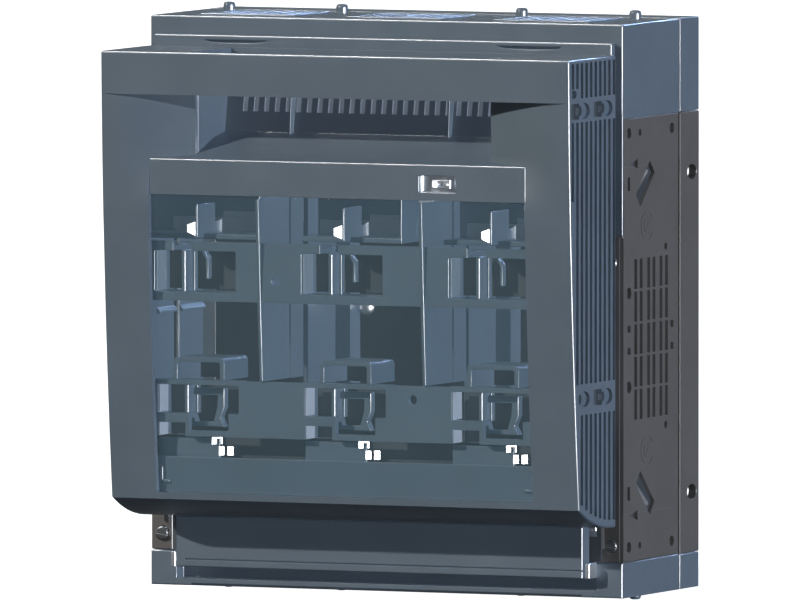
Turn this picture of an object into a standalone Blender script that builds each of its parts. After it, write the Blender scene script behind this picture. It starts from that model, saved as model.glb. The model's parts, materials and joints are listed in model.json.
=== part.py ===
"""Three-pole fuse switch-disconnector with a bottom-hinged swing cover, for panel mounting.

X is the width, Y points back into the panel and Z is up. The origin is the centre of the
rear mounting face. Shapes are given in millimetres and turned into metres by MM.
"""

import math

import bmesh
import bpy
from mathutils import Matrix, Vector

MM = 0.001
GAP = 0.3  # clearance between neighbouring solids
CUT = 1.0  # how far a cutter runs past the face it opens

# Driving dimensions of the fixed base
HALF_WIDTH = 128.0
TOP = 142.25
BOTTOM = -142.25
POLES = (-79.6, 0.0, 79.6)
SPLIT_BACK = -24.0  # the rear frame ends here, and the front mouldings start at SPLIT_FRONT
SPLIT_FRONT = -25.0
FRONT = -96.6  # front plane of the terminal covers
BASE_FRONT = -95.8
BASE_TOP = 95.4
BASE_BOTTOM = -124.5
MIRROR_Z = -29.2  # the lower contacts and side openings lie at MIRROR_Z - z of the upper ones
HOUSING_HALF = 116.2
BAY_HALF = 113.9
BAY_TOP = 83.0
BAY_BOTTOM = -112.0
FLOOR_FRONT = -49.0
FLOOR_BACK = -45.0
COVER_WALL = 3.0

# Driving dimensions of the swing cover
COVER_HALF = 126.6
COVER_BACK = -101.5
COVER_TOP = 127.3
COVER_WALL_SIDE = 3.0
FRONT_LOW = (-147.3, -95.6)
FRONT_MIDDLE = (-155.3, 0.0)
FRONT_HIGH = (-160.25, COVER_TOP)
NOSE_MIDDLE = (-123.0, -104.6)
NOSE_BACK = (COVER_BACK, -106.6)
BEAM_HALF = 119.2
BEAM_FRONT = -161.0
BEAM_BOTTOM = 106.9
GRIP_HALF = 79.8
HEADER_HALF = 101.8
HEADER_BOTTOM = 56.4
HEADER_TOP = 74.5
HEADER_FRONT = -156.6
WINDOW_BOTTOM = -92.4
APRON_HALF = 110.3
APRON_FRONT = -105.6
APRON_BACK = -96.9
APRON_TOP = -106.9
APRON_BOTTOM = -132.3
HINGE = (0.0, -100.6, -128.5)
LOCK = (55.8, -154.6, 64.6)

# Fuse contacts
JAW_LOW = 38.0
JAW_HIGH = 60.0
BUSBAR_HALF = 15.0
BUSBAR_BACK = FLOOR_FRONT - GAP
BUSBAR_FRONT = BUSBAR_BACK - 3.0
TERMINAL_TOP = 112.0
TERMINAL_BOTTOM = -131.8


# ---------------------------------------------------------------- shapes

def add_hull(bm, rings):
    """Closes a stack of equal rings of points into one solid, with a cap on each end."""
    made = [[bm.verts.new(Vector(point) * MM) for point in ring] for ring in rings]
    for low, high in zip(made, made[1:]):
        for index in range(len(low)):
            after = (index + 1) % len(low)
            bm.faces.new((low[index], low[after], high[after], high[index]))
    bm.faces.new(made[0])
    bm.faces.new(made[-1])


def prism_x(outline, low, high):
    return lambda bm: add_hull(bm, [[(x, y, z) for y, z in outline] for x in (low, high)])


def prism_y(outline, low, high):
    return lambda bm: add_hull(bm, [[(x, y, z) for x, z in outline] for y in (low, high)])


def prism_z(outline, low, high):
    return lambda bm: add_hull(bm, [[(x, y, z) for x, y in outline] for z in (low, high)])


def box(x, y, z):
    """A block between the pairs x, y and z."""
    return prism_z([(x[0], y[0]), (x[1], y[0]), (x[1], y[1]), (x[0], y[1])], *z)


def ring(middle, radius, sides, stretch=1.0, turn=0.0):
    """A round outline, or an oval one that is stretch times as long in its first direction."""
    corners = [turn + math.tau * index / sides for index in range(sides)]
    return [
        (middle[0] + stretch * radius * math.cos(corner), middle[1] + radius * math.sin(corner))
        for corner in corners
    ]


def slot_outline(middle, length, width, angle):
    """A rectangle of length by width, turned by angle degrees."""
    turned = Matrix.Rotation(math.radians(angle), 2)
    ends = [(-length / 2, -width / 2), (length / 2, -width / 2)]
    ends += [(length / 2, width / 2), (-length / 2, width / 2)]
    return [tuple(Vector(middle) + turned @ Vector(end)) for end in ends]


def arc(start, through, end, steps):
    """Points on the circle through three points, from start to end."""
    a, b, c = (Vector(point) for point in (start, through, end))
    across, along = b - a, c - a
    scale = 2 * (across.x * along.y - across.y * along.x)
    square_b, square_c = across.length_squared, along.length_squared
    middle = a + Vector((along.y * square_b - across.y * square_c,
                         across.x * square_c - along.x * square_b)) / scale
    first, radius = a - middle, (a - middle).length
    sweep = -first.angle_signed(c - middle)
    return [
        tuple(middle + radius * (Matrix.Rotation(sweep * step / steps, 2) @ first.normalized()))
        for step in range(steps + 1)
    ]


def mirrored_x(shape):
    """The same shape on the other side of the middle plane."""
    def build(bm):
        before = set(bm.verts)
        shape(bm)
        for vert in set(bm.verts) - before:
            vert.co.x = -vert.co.x
    return build


def both_sides(shapes):
    return [*shapes, *(mirrored_x(shape) for shape in shapes)]


# ---------------------------------------------------------------- objects

def mesh_of(name, shapes):
    bm = bmesh.new()
    for shape in shapes:
        shape(bm)
    bmesh.ops.recalc_face_normals(bm, faces=bm.faces)
    mesh = bpy.data.meshes.new(name)
    bm.to_mesh(mesh)
    bm.free()
    return mesh


def material(name, colour, roughness, metallic=0.0, alpha=1.0):
    made = bpy.data.materials.new(name)
    made.use_nodes = True
    shader = made.node_tree.nodes["Principled BSDF"]
    shader.inputs["Base Color"].default_value = (*colour, 1.0)
    shader.inputs["Roughness"].default_value = roughness
    shader.inputs["Metallic"].default_value = metallic
    shader.inputs["Alpha"].default_value = alpha
    made.diffuse_color = (*colour, alpha)
    return made


def empty(name, place, parent=None):
    made = bpy.data.objects.new(name, None)
    made.empty_display_size = 0.02
    put(made, place, parent)
    return made


def put(made, place, parent):
    """Places an object at a point of the whole frame, whatever its parent's place is."""
    bpy.context.scene.collection.objects.link(made)
    made.parent = parent
    held_at = parent["place"] if parent else (0.0, 0.0, 0.0)
    made["place"] = place
    made.location = [(here - there) * MM for here, there in zip(place, held_at)]


def combine(target, operation, shapes, group):
    """Joins shapes to the target, or cuts them from it. Each group holds solids that stay apart."""
    helper = bpy.data.objects.new(
        f"{target.name}_{operation.lower()}_{group}", mesh_of(f"{target.name}_helper", shapes)
    )
    put(helper, target["place"], target.parent)
    helper.hide_render = True
    helper.display_type = "WIRE"
    modifier = target.modifiers.new(f"{operation}_{group}", "BOOLEAN")
    modifier.operation = operation
    modifier.solver = "EXACT"
    modifier.object = helper


def part(name, finish, body, parent, place=(0.0, 0.0, 0.0), joins=(), cuts=()):
    """One named sub-part. joins and cuts are lists of groups, and each group is a list of shapes."""
    mesh = mesh_of(name, [body])
    mesh.materials.append(finish)
    made = bpy.data.objects.new(name, mesh)
    put(made, place, parent)
    for group, shapes in enumerate(joins):
        combine(made, "UNION", shapes, group)
    for group, shapes in enumerate(cuts):
        combine(made, "DIFFERENCE", shapes, group)
    return made


for leftover in list(bpy.data.objects):
    bpy.data.objects.remove(leftover, do_unlink=True)

SHELL = material("shell_plastic", (0.105, 0.14, 0.17), 0.45)
BASE = material("base_plastic", (0.075, 0.076, 0.08), 0.55)
CARRIER = material("carrier_plastic", (0.12, 0.16, 0.19), 0.5)
CLEAR = material("window_clear", (0.25, 0.4, 0.45), 0.12, alpha=0.3)
CONTACT = material("contact_metal", (0.75, 0.74, 0.7), 0.25, metallic=1.0)
STEEL = material("fastener_steel", (0.6, 0.61, 0.63), 0.35, metallic=1.0)

BASE_AXES = empty("base_axes", (0.0, 0.0, 0.0))
COVER_AXES = empty("cover_axes", HINGE, BASE_AXES)
LOCK_AXES = empty("lock_axes", LOCK, COVER_AXES)


# ---------------------------------------------------------------- fixed base

def rear_frame():
    """Open frame that stands on the panel, with a drilled tab in each corner and a middle rib."""
    wall, lip, tab = 4.4, 6.0, 22.0
    inner = HALF_WIDTH - wall
    high, low = BASE_TOP - wall, BASE_BOTTOM + wall
    front_hollow = box((-inner, inner), (SPLIT_BACK - CUT, -lip), (low, high))
    rib = 8.0
    wide = box((rib, inner), (-lip - CUT, CUT), (low + tab, high - tab))
    tall = box((rib, inner - tab), (-lip - CUT, CUT), (low, high))
    tab_holes = [
        prism_y(ring((inner - tab / 2, height), 3.5, 16), -lip - CUT, CUT)
        for height in (high - tab / 2, low + tab / 2)
    ]
    side_holes = [
        prism_x(ring((-8.8, height), 3.75, 16, stretch=1.55), inner - CUT, HALF_WIDTH + CUT)
        for height in (65.2, MIRROR_Z - 65.2)
    ]
    outer = box((-HALF_WIDTH, HALF_WIDTH), (SPLIT_BACK, 0.0), (BASE_BOTTOM, BASE_TOP))
    part("rear_frame", BASE, outer, BASE_AXES, cuts=[
        [front_hollow], both_sides([wide]), both_sides([tall]), both_sides(tab_holes + side_holes),
    ])


def rear_shroud(name, low, high, open_low, open_high):
    """Three-walled shroud that carries the terminal cover's outline back to the panel."""
    outer = box((-HALF_WIDTH, HALF_WIDTH), (SPLIT_BACK, 0.0), (low, high))
    inner = HALF_WIDTH - COVER_WALL
    hollow = box((-inner, inner), (SPLIT_BACK - CUT, CUT), (open_low, open_high))
    part(name, SHELL, outer, BASE_AXES, cuts=[[hollow]])


def base_housing():
    """Tub with one wide fuse bay in front and a hollow behind its floor."""
    outer = box((-HOUSING_HALF, HOUSING_HALF), (BASE_FRONT, SPLIT_FRONT), (BASE_BOTTOM, BASE_TOP))
    bay = box((-BAY_HALF, BAY_HALF), (BASE_FRONT - CUT, FLOOR_FRONT), (BAY_BOTTOM, BAY_TOP))
    rear = box((-BAY_HALF, BAY_HALF), (FLOOR_BACK, SPLIT_FRONT + CUT), (BAY_BOTTOM, BAY_TOP))
    busbar_ways = [
        box((pole - BUSBAR_HALF - 1, pole + BUSBAR_HALF + 1),
            (BUSBAR_FRONT - 1, FLOOR_FRONT + GAP), span)
        for pole in POLES
        for span in ((BAY_TOP - CUT, BASE_TOP + CUT), (BASE_BOTTOM - CUT, BAY_BOTTOM + CUT))
    ]
    part("base_housing", BASE, outer, BASE_AXES, cuts=[[bay], [rear], busbar_ways])


def phase_barriers():
    """Upright walls between the poles, each with an air slot from the front."""
    for name, middle in (("left", -39.8), ("right", 39.8)):
        wall = box((-5.2, 5.2), (BASE_FRONT, FLOOR_FRONT - GAP), (BAY_BOTTOM + GAP, BAY_TOP - GAP))
        slot = box((-2.6, 2.6), (BASE_FRONT - CUT, FLOOR_FRONT - 8), (BAY_BOTTOM + 6, BAY_TOP - 6))
        part(f"phase_barrier_{name}", BASE, wall, BASE_AXES, (middle, 0.0, 0.0), cuts=[[slot]])


def side_cover_openings():
    """Cutters for the holes, slots and vents in a side cover's outer wall."""
    through = (HALF_WIDTH - 2 - CUT, HALF_WIDTH + CUT)
    shapes = []
    round_holes = [(-88.3, 88.1, 2.7), (-74.5, 87.9, 1.8), (-34.4, 88.2, 2.7), (-42.1, 29.8, 1.9),
                   (-88.3, 8.7, 3.0)]
    for y, z, radius in round_holes:
        for height in (z, MIRROR_Z - z):
            shapes.append(prism_x(ring((y, height), radius, 12), *through))
    for height, way in ((62.2, 1), (MIRROR_Z - 62.2, -1)):
        slanted = slot_outline((-68.0, height), 24.0, 8.5, 42.0 * way)
        shapes.append(prism_x(slanted, *through))
        shapes.append(prism_x(slot_outline((-88.6, height + 0.7), 3.3, 6.8, 0), *through))
        arrow = [(-86.6, height + 10.4 * way), (-77.4, height + 13 * way),
                 (-77.4, height + 8 * way)]
        shapes.append(prism_x(arrow, *through))
    for y in (-88.3, -34.3):
        for height in (-9.1, -20.1):
            shapes.append(prism_x(slot_outline((y, height), 3.7, 3.5, 0), *through))
    rows, tie = 5, 1.2
    low, high = -54.4, 25.3
    pitch = (high - low + tie) / rows
    for y in (-79.9, -73.1, -63.6, -56.9, -48.1, -41.2):
        for row in range(rows):
            start = low + row * pitch
            shapes.append(box(through, (y - 1.8, y + 1.8), (start, start + pitch - tie)))
    return shapes


def side_covers():
    """Thin outer shells on both sides of the housing, with a front flange."""
    inside = HOUSING_HALF + GAP
    shell = box((inside, HALF_WIDTH), (BASE_FRONT, SPLIT_FRONT), (BASE_BOTTOM, BASE_TOP))
    hollow = box((inside - CUT, HALF_WIDTH - 2), (BASE_FRONT + 2.5, SPLIT_FRONT + CUT),
                 (BASE_BOTTOM + 2, BASE_TOP - 2))
    leg_rebate = box((inside - CUT, HALF_WIDTH + CUT), (BASE_FRONT - CUT, BASE_FRONT + 1.1),
                     (37.2, BASE_TOP + CUT))
    corner = box((HALF_WIDTH - 2, HALF_WIDTH + CUT), (BASE_FRONT - CUT, BASE_FRONT + 0.6),
                 (BASE_BOTTOM - CUT, 36.6))
    slot = box((116.9, 118.4), (BASE_FRONT - CUT, BASE_FRONT + 4), (-118.0, 30.0))
    screw_holes = [
        prism_y(ring((121.8, height), 2.1, 10), BASE_FRONT - CUT, BASE_FRONT + 4)
        for height in (24.0, -116.5)
    ]
    cuts = [[hollow], [leg_rebate], [corner], [slot, *screw_holes], side_cover_openings()]
    part("side_cover_right", BASE, shell, BASE_AXES, cuts=cuts)
    turned = [[mirrored_x(shape) for shape in group] for group in cuts]
    part("side_cover_left", BASE, mirrored_x(shell), BASE_AXES, cuts=turned)


def side_cover_screws():
    """Slotted screws that hold each side cover's flange."""
    head = prism_y(ring((0.0, 0.0), 3.4, 16), -1.9, 0.0)
    shank = prism_y(ring((0.0, 0.0), 1.7, 10), -0.5, 9.0)
    slot = box((-4.0, 4.0), (-2.5, -1.1), (-0.5, 0.5))
    for side, x in (("left", -121.8), ("right", 121.8)):
        for level, z in (("upper", 24.0), ("lower", -116.5)):
            part(f"side_cover_screw_{side}_{level}", STEEL, head, BASE_AXES,
                 (x, BASE_FRONT - GAP, z), joins=[[shank]], cuts=[[slot]])


def pegs(low, high):
    """Round-headed pegs near the outer poles and between the poles."""
    return [prism_z(ring((x, -37.0), 3.0, 10), low, high) for x in (-110.6, -48.9, 48.9, 110.6)]


def top_terminal_cover():
    """Shroud over the upper terminals, open behind and below, with two thin front legs."""
    outer = box((-HALF_WIDTH, HALF_WIDTH), (FRONT, SPLIT_FRONT), (BASE_TOP + GAP, TOP))
    legs = both_sides([box((HOUSING_HALF + 1, HALF_WIDTH), (FRONT, FRONT + 1.6), (37.5, 98.0))])
    inner = HALF_WIDTH - COVER_WALL
    hollow = box((-inner, inner), (FRONT + COVER_WALL, SPLIT_FRONT + CUT),
                 (BASE_TOP - CUT, TOP - COVER_WALL))
    entries = [box((pole - 26, pole + 26), (-87.0, -43.0), (TOP - 5, TOP + CUT)) for pole in POLES]
    part("top_terminal_cover", SHELL, outer, BASE_AXES,
         joins=[legs, pegs(TOP - CUT, TOP + 4.4)], cuts=[[hollow], entries])


def top_cover_lid():
    """Raised panel on the front of the top cover, with two shallow finger notches."""
    panel = box((-124.0, 124.0), (FRONT - 4.6, FRONT - GAP), (98.0, 133.0))
    notches = both_sides([
        prism_y(ring((79.5, 133.0), 9.5, 24, stretch=2.0), FRONT - 5.6, FRONT - 2.6)
    ])
    part("top_cover_lid", SHELL, panel, BASE_AXES, cuts=[notches])


def cable_grilles():
    """Break-out grilles that close the cable entries of the top cover."""
    half, slats = 25.6, 8
    pitch = 2 * (half - 1.5) / slats
    for number, pole in enumerate(POLES, 1):
        plate = box((-half, half), (-86.6, -43.4), (TOP - 3.2, TOP - 0.4))
        gaps = [
            box((-half + 1.5 + pitch * (index + 0.25), -half + 1.5 + pitch * (index + 0.75)),
                (-83.0, -47.0), (TOP - 5, TOP + CUT))
            for index in range(slats)
        ]
        part(f"cable_grille_top_{number}", SHELL, plate, BASE_AXES, (pole, 0.0, 0.0), cuts=[gaps])


def bottom_terminal_cover():
    """Lower shroud: two front corner blocks, a recess for the cover's apron, slotted below."""
    outer = box((-HALF_WIDTH, HALF_WIDTH), (FRONT, SPLIT_FRONT), (BOTTOM, BASE_BOTTOM - GAP))
    recess = box((-BAY_HALF, BAY_HALF), (FRONT - CUT, -88.0), (-138.6, BASE_BOTTOM + CUT))
    inner = HALF_WIDTH - COVER_WALL
    hollow = box((-inner, inner), (-85.0, SPLIT_FRONT + CUT),
                 (BOTTOM + COVER_WALL, BASE_BOTTOM + CUT))
    slots = [
        box((pole + offset - 1.5, pole + offset + 1.5), (-80.0, -46.0), (BOTTOM - CUT, BOTTOM + 5))
        for pole in POLES for offset in (-21, -15, -9, -3, 3, 9, 15, 21)
    ]
    part("bottom_terminal_cover", SHELL, outer, BASE_AXES,
         joins=[pegs(BOTTOM - 4.4, BOTTOM + CUT)], cuts=[[recess], [hollow], slots])


def contact(name, pole, upper):
    """Forked contact jaw with a flared mouth, made in one with its connecting bar."""
    half = [(BUSBAR_HALF, BUSBAR_BACK), (BUSBAR_HALF, BUSBAR_FRONT), (6.4, BUSBAR_FRONT),
            (6.4, -83.0), (9.4, -89.2), (6.6, -90.4), (3.4, -83.6), (3.4, BUSBAR_FRONT - 0.6)]
    fork = half + [(-x, y) for x, y in reversed(half)]
    bar_end, bolt, bolt_radius = (126.0, TERMINAL_TOP, 5.6) if upper else (
        -138.0, TERMINAL_BOTTOM, 3.4)
    low, high = (JAW_LOW, JAW_HIGH) if upper else (MIRROR_Z - JAW_HIGH, MIRROR_Z - JAW_LOW)
    inner_end = high if upper else low
    bar = box((-BUSBAR_HALF, BUSBAR_HALF), (BUSBAR_FRONT, BUSBAR_BACK),
              sorted((inner_end - 8 if upper else inner_end + 8, bar_end)))
    hole = prism_y(ring((0.0, bolt), bolt_radius, 16), BUSBAR_FRONT - CUT, BUSBAR_BACK + CUT)
    part(name, CONTACT, prism_z(fork, low, high), BASE_AXES, (pole, 0.0, 0.0),
         joins=[[bar]], cuts=[[hole]])


def jaw_spring(name, pole, upper):
    """Saddle spring that presses the jaw's two cheeks together."""
    saddle = [(-8.0, 41.0), (-6.7, 41.0), (-6.7, 60.3), (6.7, 60.3),
              (6.7, 41.0), (8.0, 41.0), (8.0, 61.6), (-8.0, 61.6)]
    if not upper:
        saddle = [(x, MIRROR_Z - z) for x, z in saddle]
    part(name, STEEL, prism_y(saddle, -80.0, -57.0), BASE_AXES, (pole, 0.0, 0.0))


def terminal_bolt(name, pole, height, radius):
    """Hexagon-head bolt with a washer face, through the connecting bar."""
    washer = prism_y(ring((0.0, 0.0), radius * 1.5, 20), -1.6, 0.0)
    head = prism_y(ring((0.0, 0.0), radius * 1.45, 6, turn=math.pi / 6), -1.6 - radius, -1.0)
    shank = prism_y(ring((0.0, 0.0), radius * 0.88, 12), -0.5, 14.0)
    part(name, STEEL, washer, BASE_AXES, (pole, BUSBAR_FRONT - GAP, height),
         joins=[[head], [shank]])


def arc_chute(name, pole):
    """Stack of quenching plates on one spine, above the upper jaw."""
    plates, pitch, thick = 7, 5.2, 1.5
    start, low, spine, high = -91.0, 64.5, 78.8, 81.5
    teeth = []
    for index in range(plates):
        y = start + index * pitch
        teeth += [(y, spine), (y, low), (y + thick, low), (y + thick, spine)]
    comb = teeth[1:-1] + [(teeth[-1][0], high), (start, high)]
    part(name, STEEL, prism_x(comb, -20.0, 20.0), BASE_AXES, (pole, 0.0, 0.0))


def contacts():
    for number, pole in enumerate(POLES, 1):
        for level, upper in (("upper", True), ("lower", False)):
            contact(f"contact_jaw_{level}_{number}", pole, upper)
            jaw_spring(f"jaw_spring_{level}_{number}", pole, upper)
        terminal_bolt(f"terminal_bolt_upper_{number}", pole, TERMINAL_TOP, 6.0)
        terminal_bolt(f"terminal_bolt_lower_{number}", pole, TERMINAL_BOTTOM, 3.6)
        arc_chute(f"arc_chute_{number}", pole)


def hinge_brackets():
    """Ears on the bottom cover's corner blocks, each with the pin that the apron turns on."""
    ear = box((APRON_HALF + 0.9, BAY_HALF - GAP), (-104.4, -88.3), (-132.4, -124.8))
    pin = prism_x(ring(HINGE[1:], 2.0, 16), APRON_HALF - 2.2, APRON_HALF + 1.5)
    part("hinge_bracket_right", STEEL, ear, BASE_AXES, joins=[[pin]])
    part("hinge_bracket_left", STEEL, mirrored_x(ear), BASE_AXES, joins=[[mirrored_x(pin)]])


# ---------------------------------------------------------------- swing cover

def front_y(z):
    """The y of the cover's slightly bowed front at height z, on the circle through its points."""
    outline = arc(FRONT_LOW, FRONT_MIDDLE, FRONT_HIGH, 24)
    for (y0, z0), (y1, z1) in zip(outline, outline[1:]):
        if z0 <= z <= z1:
            return y0 + (y1 - y0) * (z - z0) / (z1 - z0)
    return outline[0][0] if z < outline[0][1] else outline[-1][0]


def nose_z(y):
    """The z of the cover's rounded lower edge at depth y."""
    outline = arc(FRONT_LOW, NOSE_MIDDLE, NOSE_BACK, 16)
    for (y0, z0), (y1, z1) in zip(outline, outline[1:]):
        if y0 <= y <= y1:
            return z0 + (z1 - z0) * (y - y0) / (y1 - y0)
    return outline[0][1]


def grooves(side):
    """Upright grooves in the cover's side, broken by two bands of marks."""
    depth = (COVER_HALF - 1.5, COVER_HALF + CUT)
    pitch, width, count = 5.7, 2.85, 10
    shapes = []
    for index in range(count):
        y = -155.4 + pitch * index
        low = nose_z(y) + 5.0
        while front_y(low) > y - width:
            low += 1.0
        upper_start = 114.5 if index < 2 else 110.0
        for start, end in ((low, -48.5), (max(low, -33.4), 94.6), (upper_start, 123.0)):
            if end - start > 4:
                shapes.append(box(depth, (y - width / 2, y + width / 2), (start, end)))
    for height in (101.7, -40.8):
        shapes += [prism_x(ring((y, height), 4.1, 14), *depth) for y in (-141.4, -113.6)]
        for y in (-151.5, -124.0):
            if front_y(height) < y - 5.5:
                shapes.append(prism_x(slot_outline((y, height), 9.0, 7.3, 0), *depth))
    shapes.append(prism_x(ring((-153.9, 110.0), 2.35, 12), *depth))
    return shapes if side > 0 else [mirrored_x(shape) for shape in shapes]


def cover_frame():
    """Outer moulding of the swing cover: bowed front, side walls, handle beam, rounded lower edge."""
    front = arc(FRONT_LOW, FRONT_MIDDLE, FRONT_HIGH, 8)
    nose = arc(NOSE_BACK, NOSE_MIDDLE, FRONT_LOW, 6)
    outline = nose + front[1:] + [(COVER_BACK, COVER_TOP)]
    outer = prism_x(outline, -COVER_HALF, COVER_HALF)
    beam = box((-BEAM_HALF, BEAM_HALF), (BEAM_FRONT, -157.0), (BEAM_BOTTOM, COVER_TOP))

    wall = COVER_WALL_SIDE
    inner_nose = [(y, z + wall) for y, z in nose[:-1]]
    inner_front = [(y + wall, z) for y, z in front if -92 < z < 70]
    inner_low = [(FRONT_LOW[0] + wall, FRONT_LOW[1] + wall)]
    recess_back, beam_back = -146.0, -153.0
    step = [(front_y(71.0) + wall, 71.0), (recess_back, 71.0), (recess_back, 109.9),
            (beam_back, 109.9), (beam_back, COVER_TOP - wall)]
    back = COVER_BACK + CUT
    inside = [(back, nose[0][1] + wall)] + inner_nose[1:] + inner_low + inner_front + step
    inside += [(back, COVER_TOP - wall)]
    inner = COVER_HALF - wall
    hollow = prism_x(inside, -inner, inner)

    window = box((-HEADER_HALF, HEADER_HALF), (-175.0, -140.0), (WINDOW_BOTTOM, HEADER_TOP))
    grip = box((-GRIP_HALF, GRIP_HALF), (-175.0, -140.0), (HEADER_TOP - CUT, BEAM_BOTTOM))
    scoop = [(GRIP_HALF - CUT, -175.0), (GRIP_HALF - CUT, -149.1), (BEAM_HALF, -158.6),
             (BEAM_HALF, -175.0)]
    top_way = box((-GRIP_HALF, GRIP_HALF), (-154.0, -105.9), (COVER_TOP - 6, COVER_TOP + CUT))
    part("cover_frame", SHELL, outer, COVER_AXES, joins=[[beam]], cuts=[
        [hollow], [window], [grip], both_sides([prism_z(scoop, 76.0, BEAM_BOTTOM)]),
        [top_way], grooves(1) + grooves(-1),
    ])


def grip_pan():
    """Insert behind the handle beam: header band, sloping ledge, leaning back wall and cheeks."""
    half = GRIP_HALF - GAP
    header = box((-HEADER_HALF + GAP, HEADER_HALF - GAP), (HEADER_FRONT, HEADER_FRONT + 3),
                 (HEADER_BOTTOM, HEADER_TOP - GAP))
    ledge = [(HEADER_FRONT, HEADER_TOP - 1), (-128.5, 83.5), (-113.3, 86.2), (-112.3, 83.0),
             (-128.5, 80.0), (HEADER_FRONT + 1, 70.8)]
    back_wall = [(-114.6, 84.0), (-106.6, 124.0), (-104.1, 124.0), (-112.1, 84.0)]
    cheek_side = [(-145.7, 120.2), (-145.7, 76.6), (-128.5, 82.8), (-113.0, 84.9),
                  (-105.4, 120.2)]
    cheek = prism_x(cheek_side, half - 2.5, half)
    gusset = prism_x([(-116.0, 85.0), (-116.0, 120.0), (-107.0, 120.0), (-113.5, 85.0)],
                     42.2, 43.6)
    lock_way = box((44.3, 64.0), (-158.0, -150.0), (60.5, 68.7))
    part("grip_pan", SHELL, header, COVER_AXES, joins=[
        [prism_x(ledge, -half, half)], [prism_x(back_wall, -half, half)],
        both_sides([cheek]), both_sides([gusset]),
    ], cuts=[[lock_way]])


def vent_grille():
    """Slatted grille in the opening behind the handle beam."""
    half, pitch, gap = 79.2, 5.78, 2.98
    plate = box((-half, half), (-152.6, -107.6), (121.9, 124.8))
    slots = [
        box((x - gap / 2, x + gap / 2), (-150.4, -109.8), (120.0, 126.0))
        for x in (pitch * (index + 0.5) for index in range(-13, 13))
    ]
    part("vent_grille", SHELL, plate, COVER_AXES, cuts=[slots])


def window():
    """Clear pane that follows the bowed front, just behind it."""
    low, high = WINDOW_BOTTOM + GAP, HEADER_BOTTOM - GAP
    heights = [low + (high - low) * step / 6 for step in range(7)]
    outline = [(front_y(z) + 0.9, z) for z in heights]
    outline += [(y + 1.9, z) for y, z in reversed(outline)]
    half = HEADER_HALF - GAP
    part("window", CLEAR, prism_x(outline, -half, half), COVER_AXES)


def window_sill():
    """Opaque strip behind the lower end of the window."""
    outline = [(front_y(z) + shift, z) for shift, z in
               ((4.0, -90.5), (4.0, -74.5), (6.2, -74.5), (6.2, -90.5))]
    part("window_sill", CARRIER, prism_x(outline, -118.0, 118.0), COVER_AXES)


def carrier_upper():
    """Plate behind the window's upper end, with a finger grip in each opening."""
    plate = box((-123.2, 123.2), (-138.5, -136.0), (33.6, 70.5))
    openings = [box((pole - 26.2, pole + 26.2), (-141.0, -134.0), (40.0, 66.0)) for pole in POLES]
    grips = [box((pole - 5.4, pole + 5.4), (-146.0, -136.5), (37.0, 54.0)) for pole in POLES]
    wing = ((-13.0, 36.0), (13.0, 36.0), (11.0, 41.0), (6.0, 45.0), (-6.0, 45.0), (-11.0, 41.0))
    wings = [prism_y([(pole + x, z) for x, z in wing], -139.0, -136.2) for pole in POLES]
    made = part("carrier_upper", CARRIER, plate, COVER_AXES, cuts=[openings])
    combine(made, "UNION", grips, "grips")
    combine(made, "UNION", wings, "wings")


def crossbar(name, front, depth, low, high, window_low, window_high, pin_hole):
    """Cross member with one opening a pole, and a frame around each that runs back by depth."""
    bar = box((-123.2, 123.2), (front, front + 3), (low, high))
    hoods = [box((pole - 24.4, pole + 24.4), (front + 1, front + depth),
                 (window_low - 2.4, window_high + 2.4)) for pole in POLES]
    openings = [box((pole - 22, pole + 22), (front - CUT, front + depth + CUT),
                    (window_low, window_high)) for pole in POLES]
    hole = prism_y(ring(pin_hole, 2.4, 12), front - CUT, front + 3 + CUT)
    return part(name, CARRIER, bar, COVER_AXES, joins=[hoods], cuts=[[*openings, hole]])


def crossbars():
    """Middle cross member with two claws in each opening, and the plain lower one."""
    front, low, high = -150.5, 7.9, 28.3
    middle = crossbar("carrier_crossbar", front, 17.0, 3.4, 33.0, low, high, (-35.9, 14.2))
    claws = [box((pole + x - 1.2, pole + x + 1.2), (front + 1.5, front + 13), (low - 1, high + 1))
             for pole in POLES for x in (-6.6, 6.6)]
    combine(middle, "UNION", claws, "claws")
    crossbar("carrier_lower", -146.6, 6.0, -64.2, -36.2, -52.7, -38.5, (36.5, -43.0))


def fuse_grip(name, pole):
    """Hood over the lower fuse lug with the waisted loop that holds it."""
    hood = [(-13.9, -35.3), (-13.9, -25.0), (13.9, -25.0), (13.9, -35.3), (11.5, -35.3),
            (11.5, -27.4), (-11.5, -27.4), (-11.5, -35.3)]
    outer = [(-10.5, -26.5), (-10.5, -50.0), (-7.0, -56.0), (-11.0, -61.0), (11.0, -61.0),
             (7.0, -56.0), (10.5, -50.0), (10.5, -26.5)]
    eye = [(-7.6, -43.0), (-6.6, -50.0), (-4.6, -57.5), (4.6, -57.5), (6.6, -50.0), (7.6, -43.0)]
    part(name, CARRIER, prism_y(hood, -143.5, -127.0), COVER_AXES, (pole, 0.0, 0.0),
         joins=[[prism_y(outer, -138.5, -135.5)]], cuts=[[prism_y(eye, -141.0, -133.0)]])


def carrier_ribs():
    """Upright ribs between the poles that tie the cross members together."""
    for side, x in (("left", -44.7), ("right", 44.7)):
        rib = box((-1.1, 1.1), (-147.0, -136.8), (-32.0, 3.0))
        part(f"carrier_rib_{side}", CARRIER, rib, COVER_AXES, (x, 0.0, 0.0))


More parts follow.
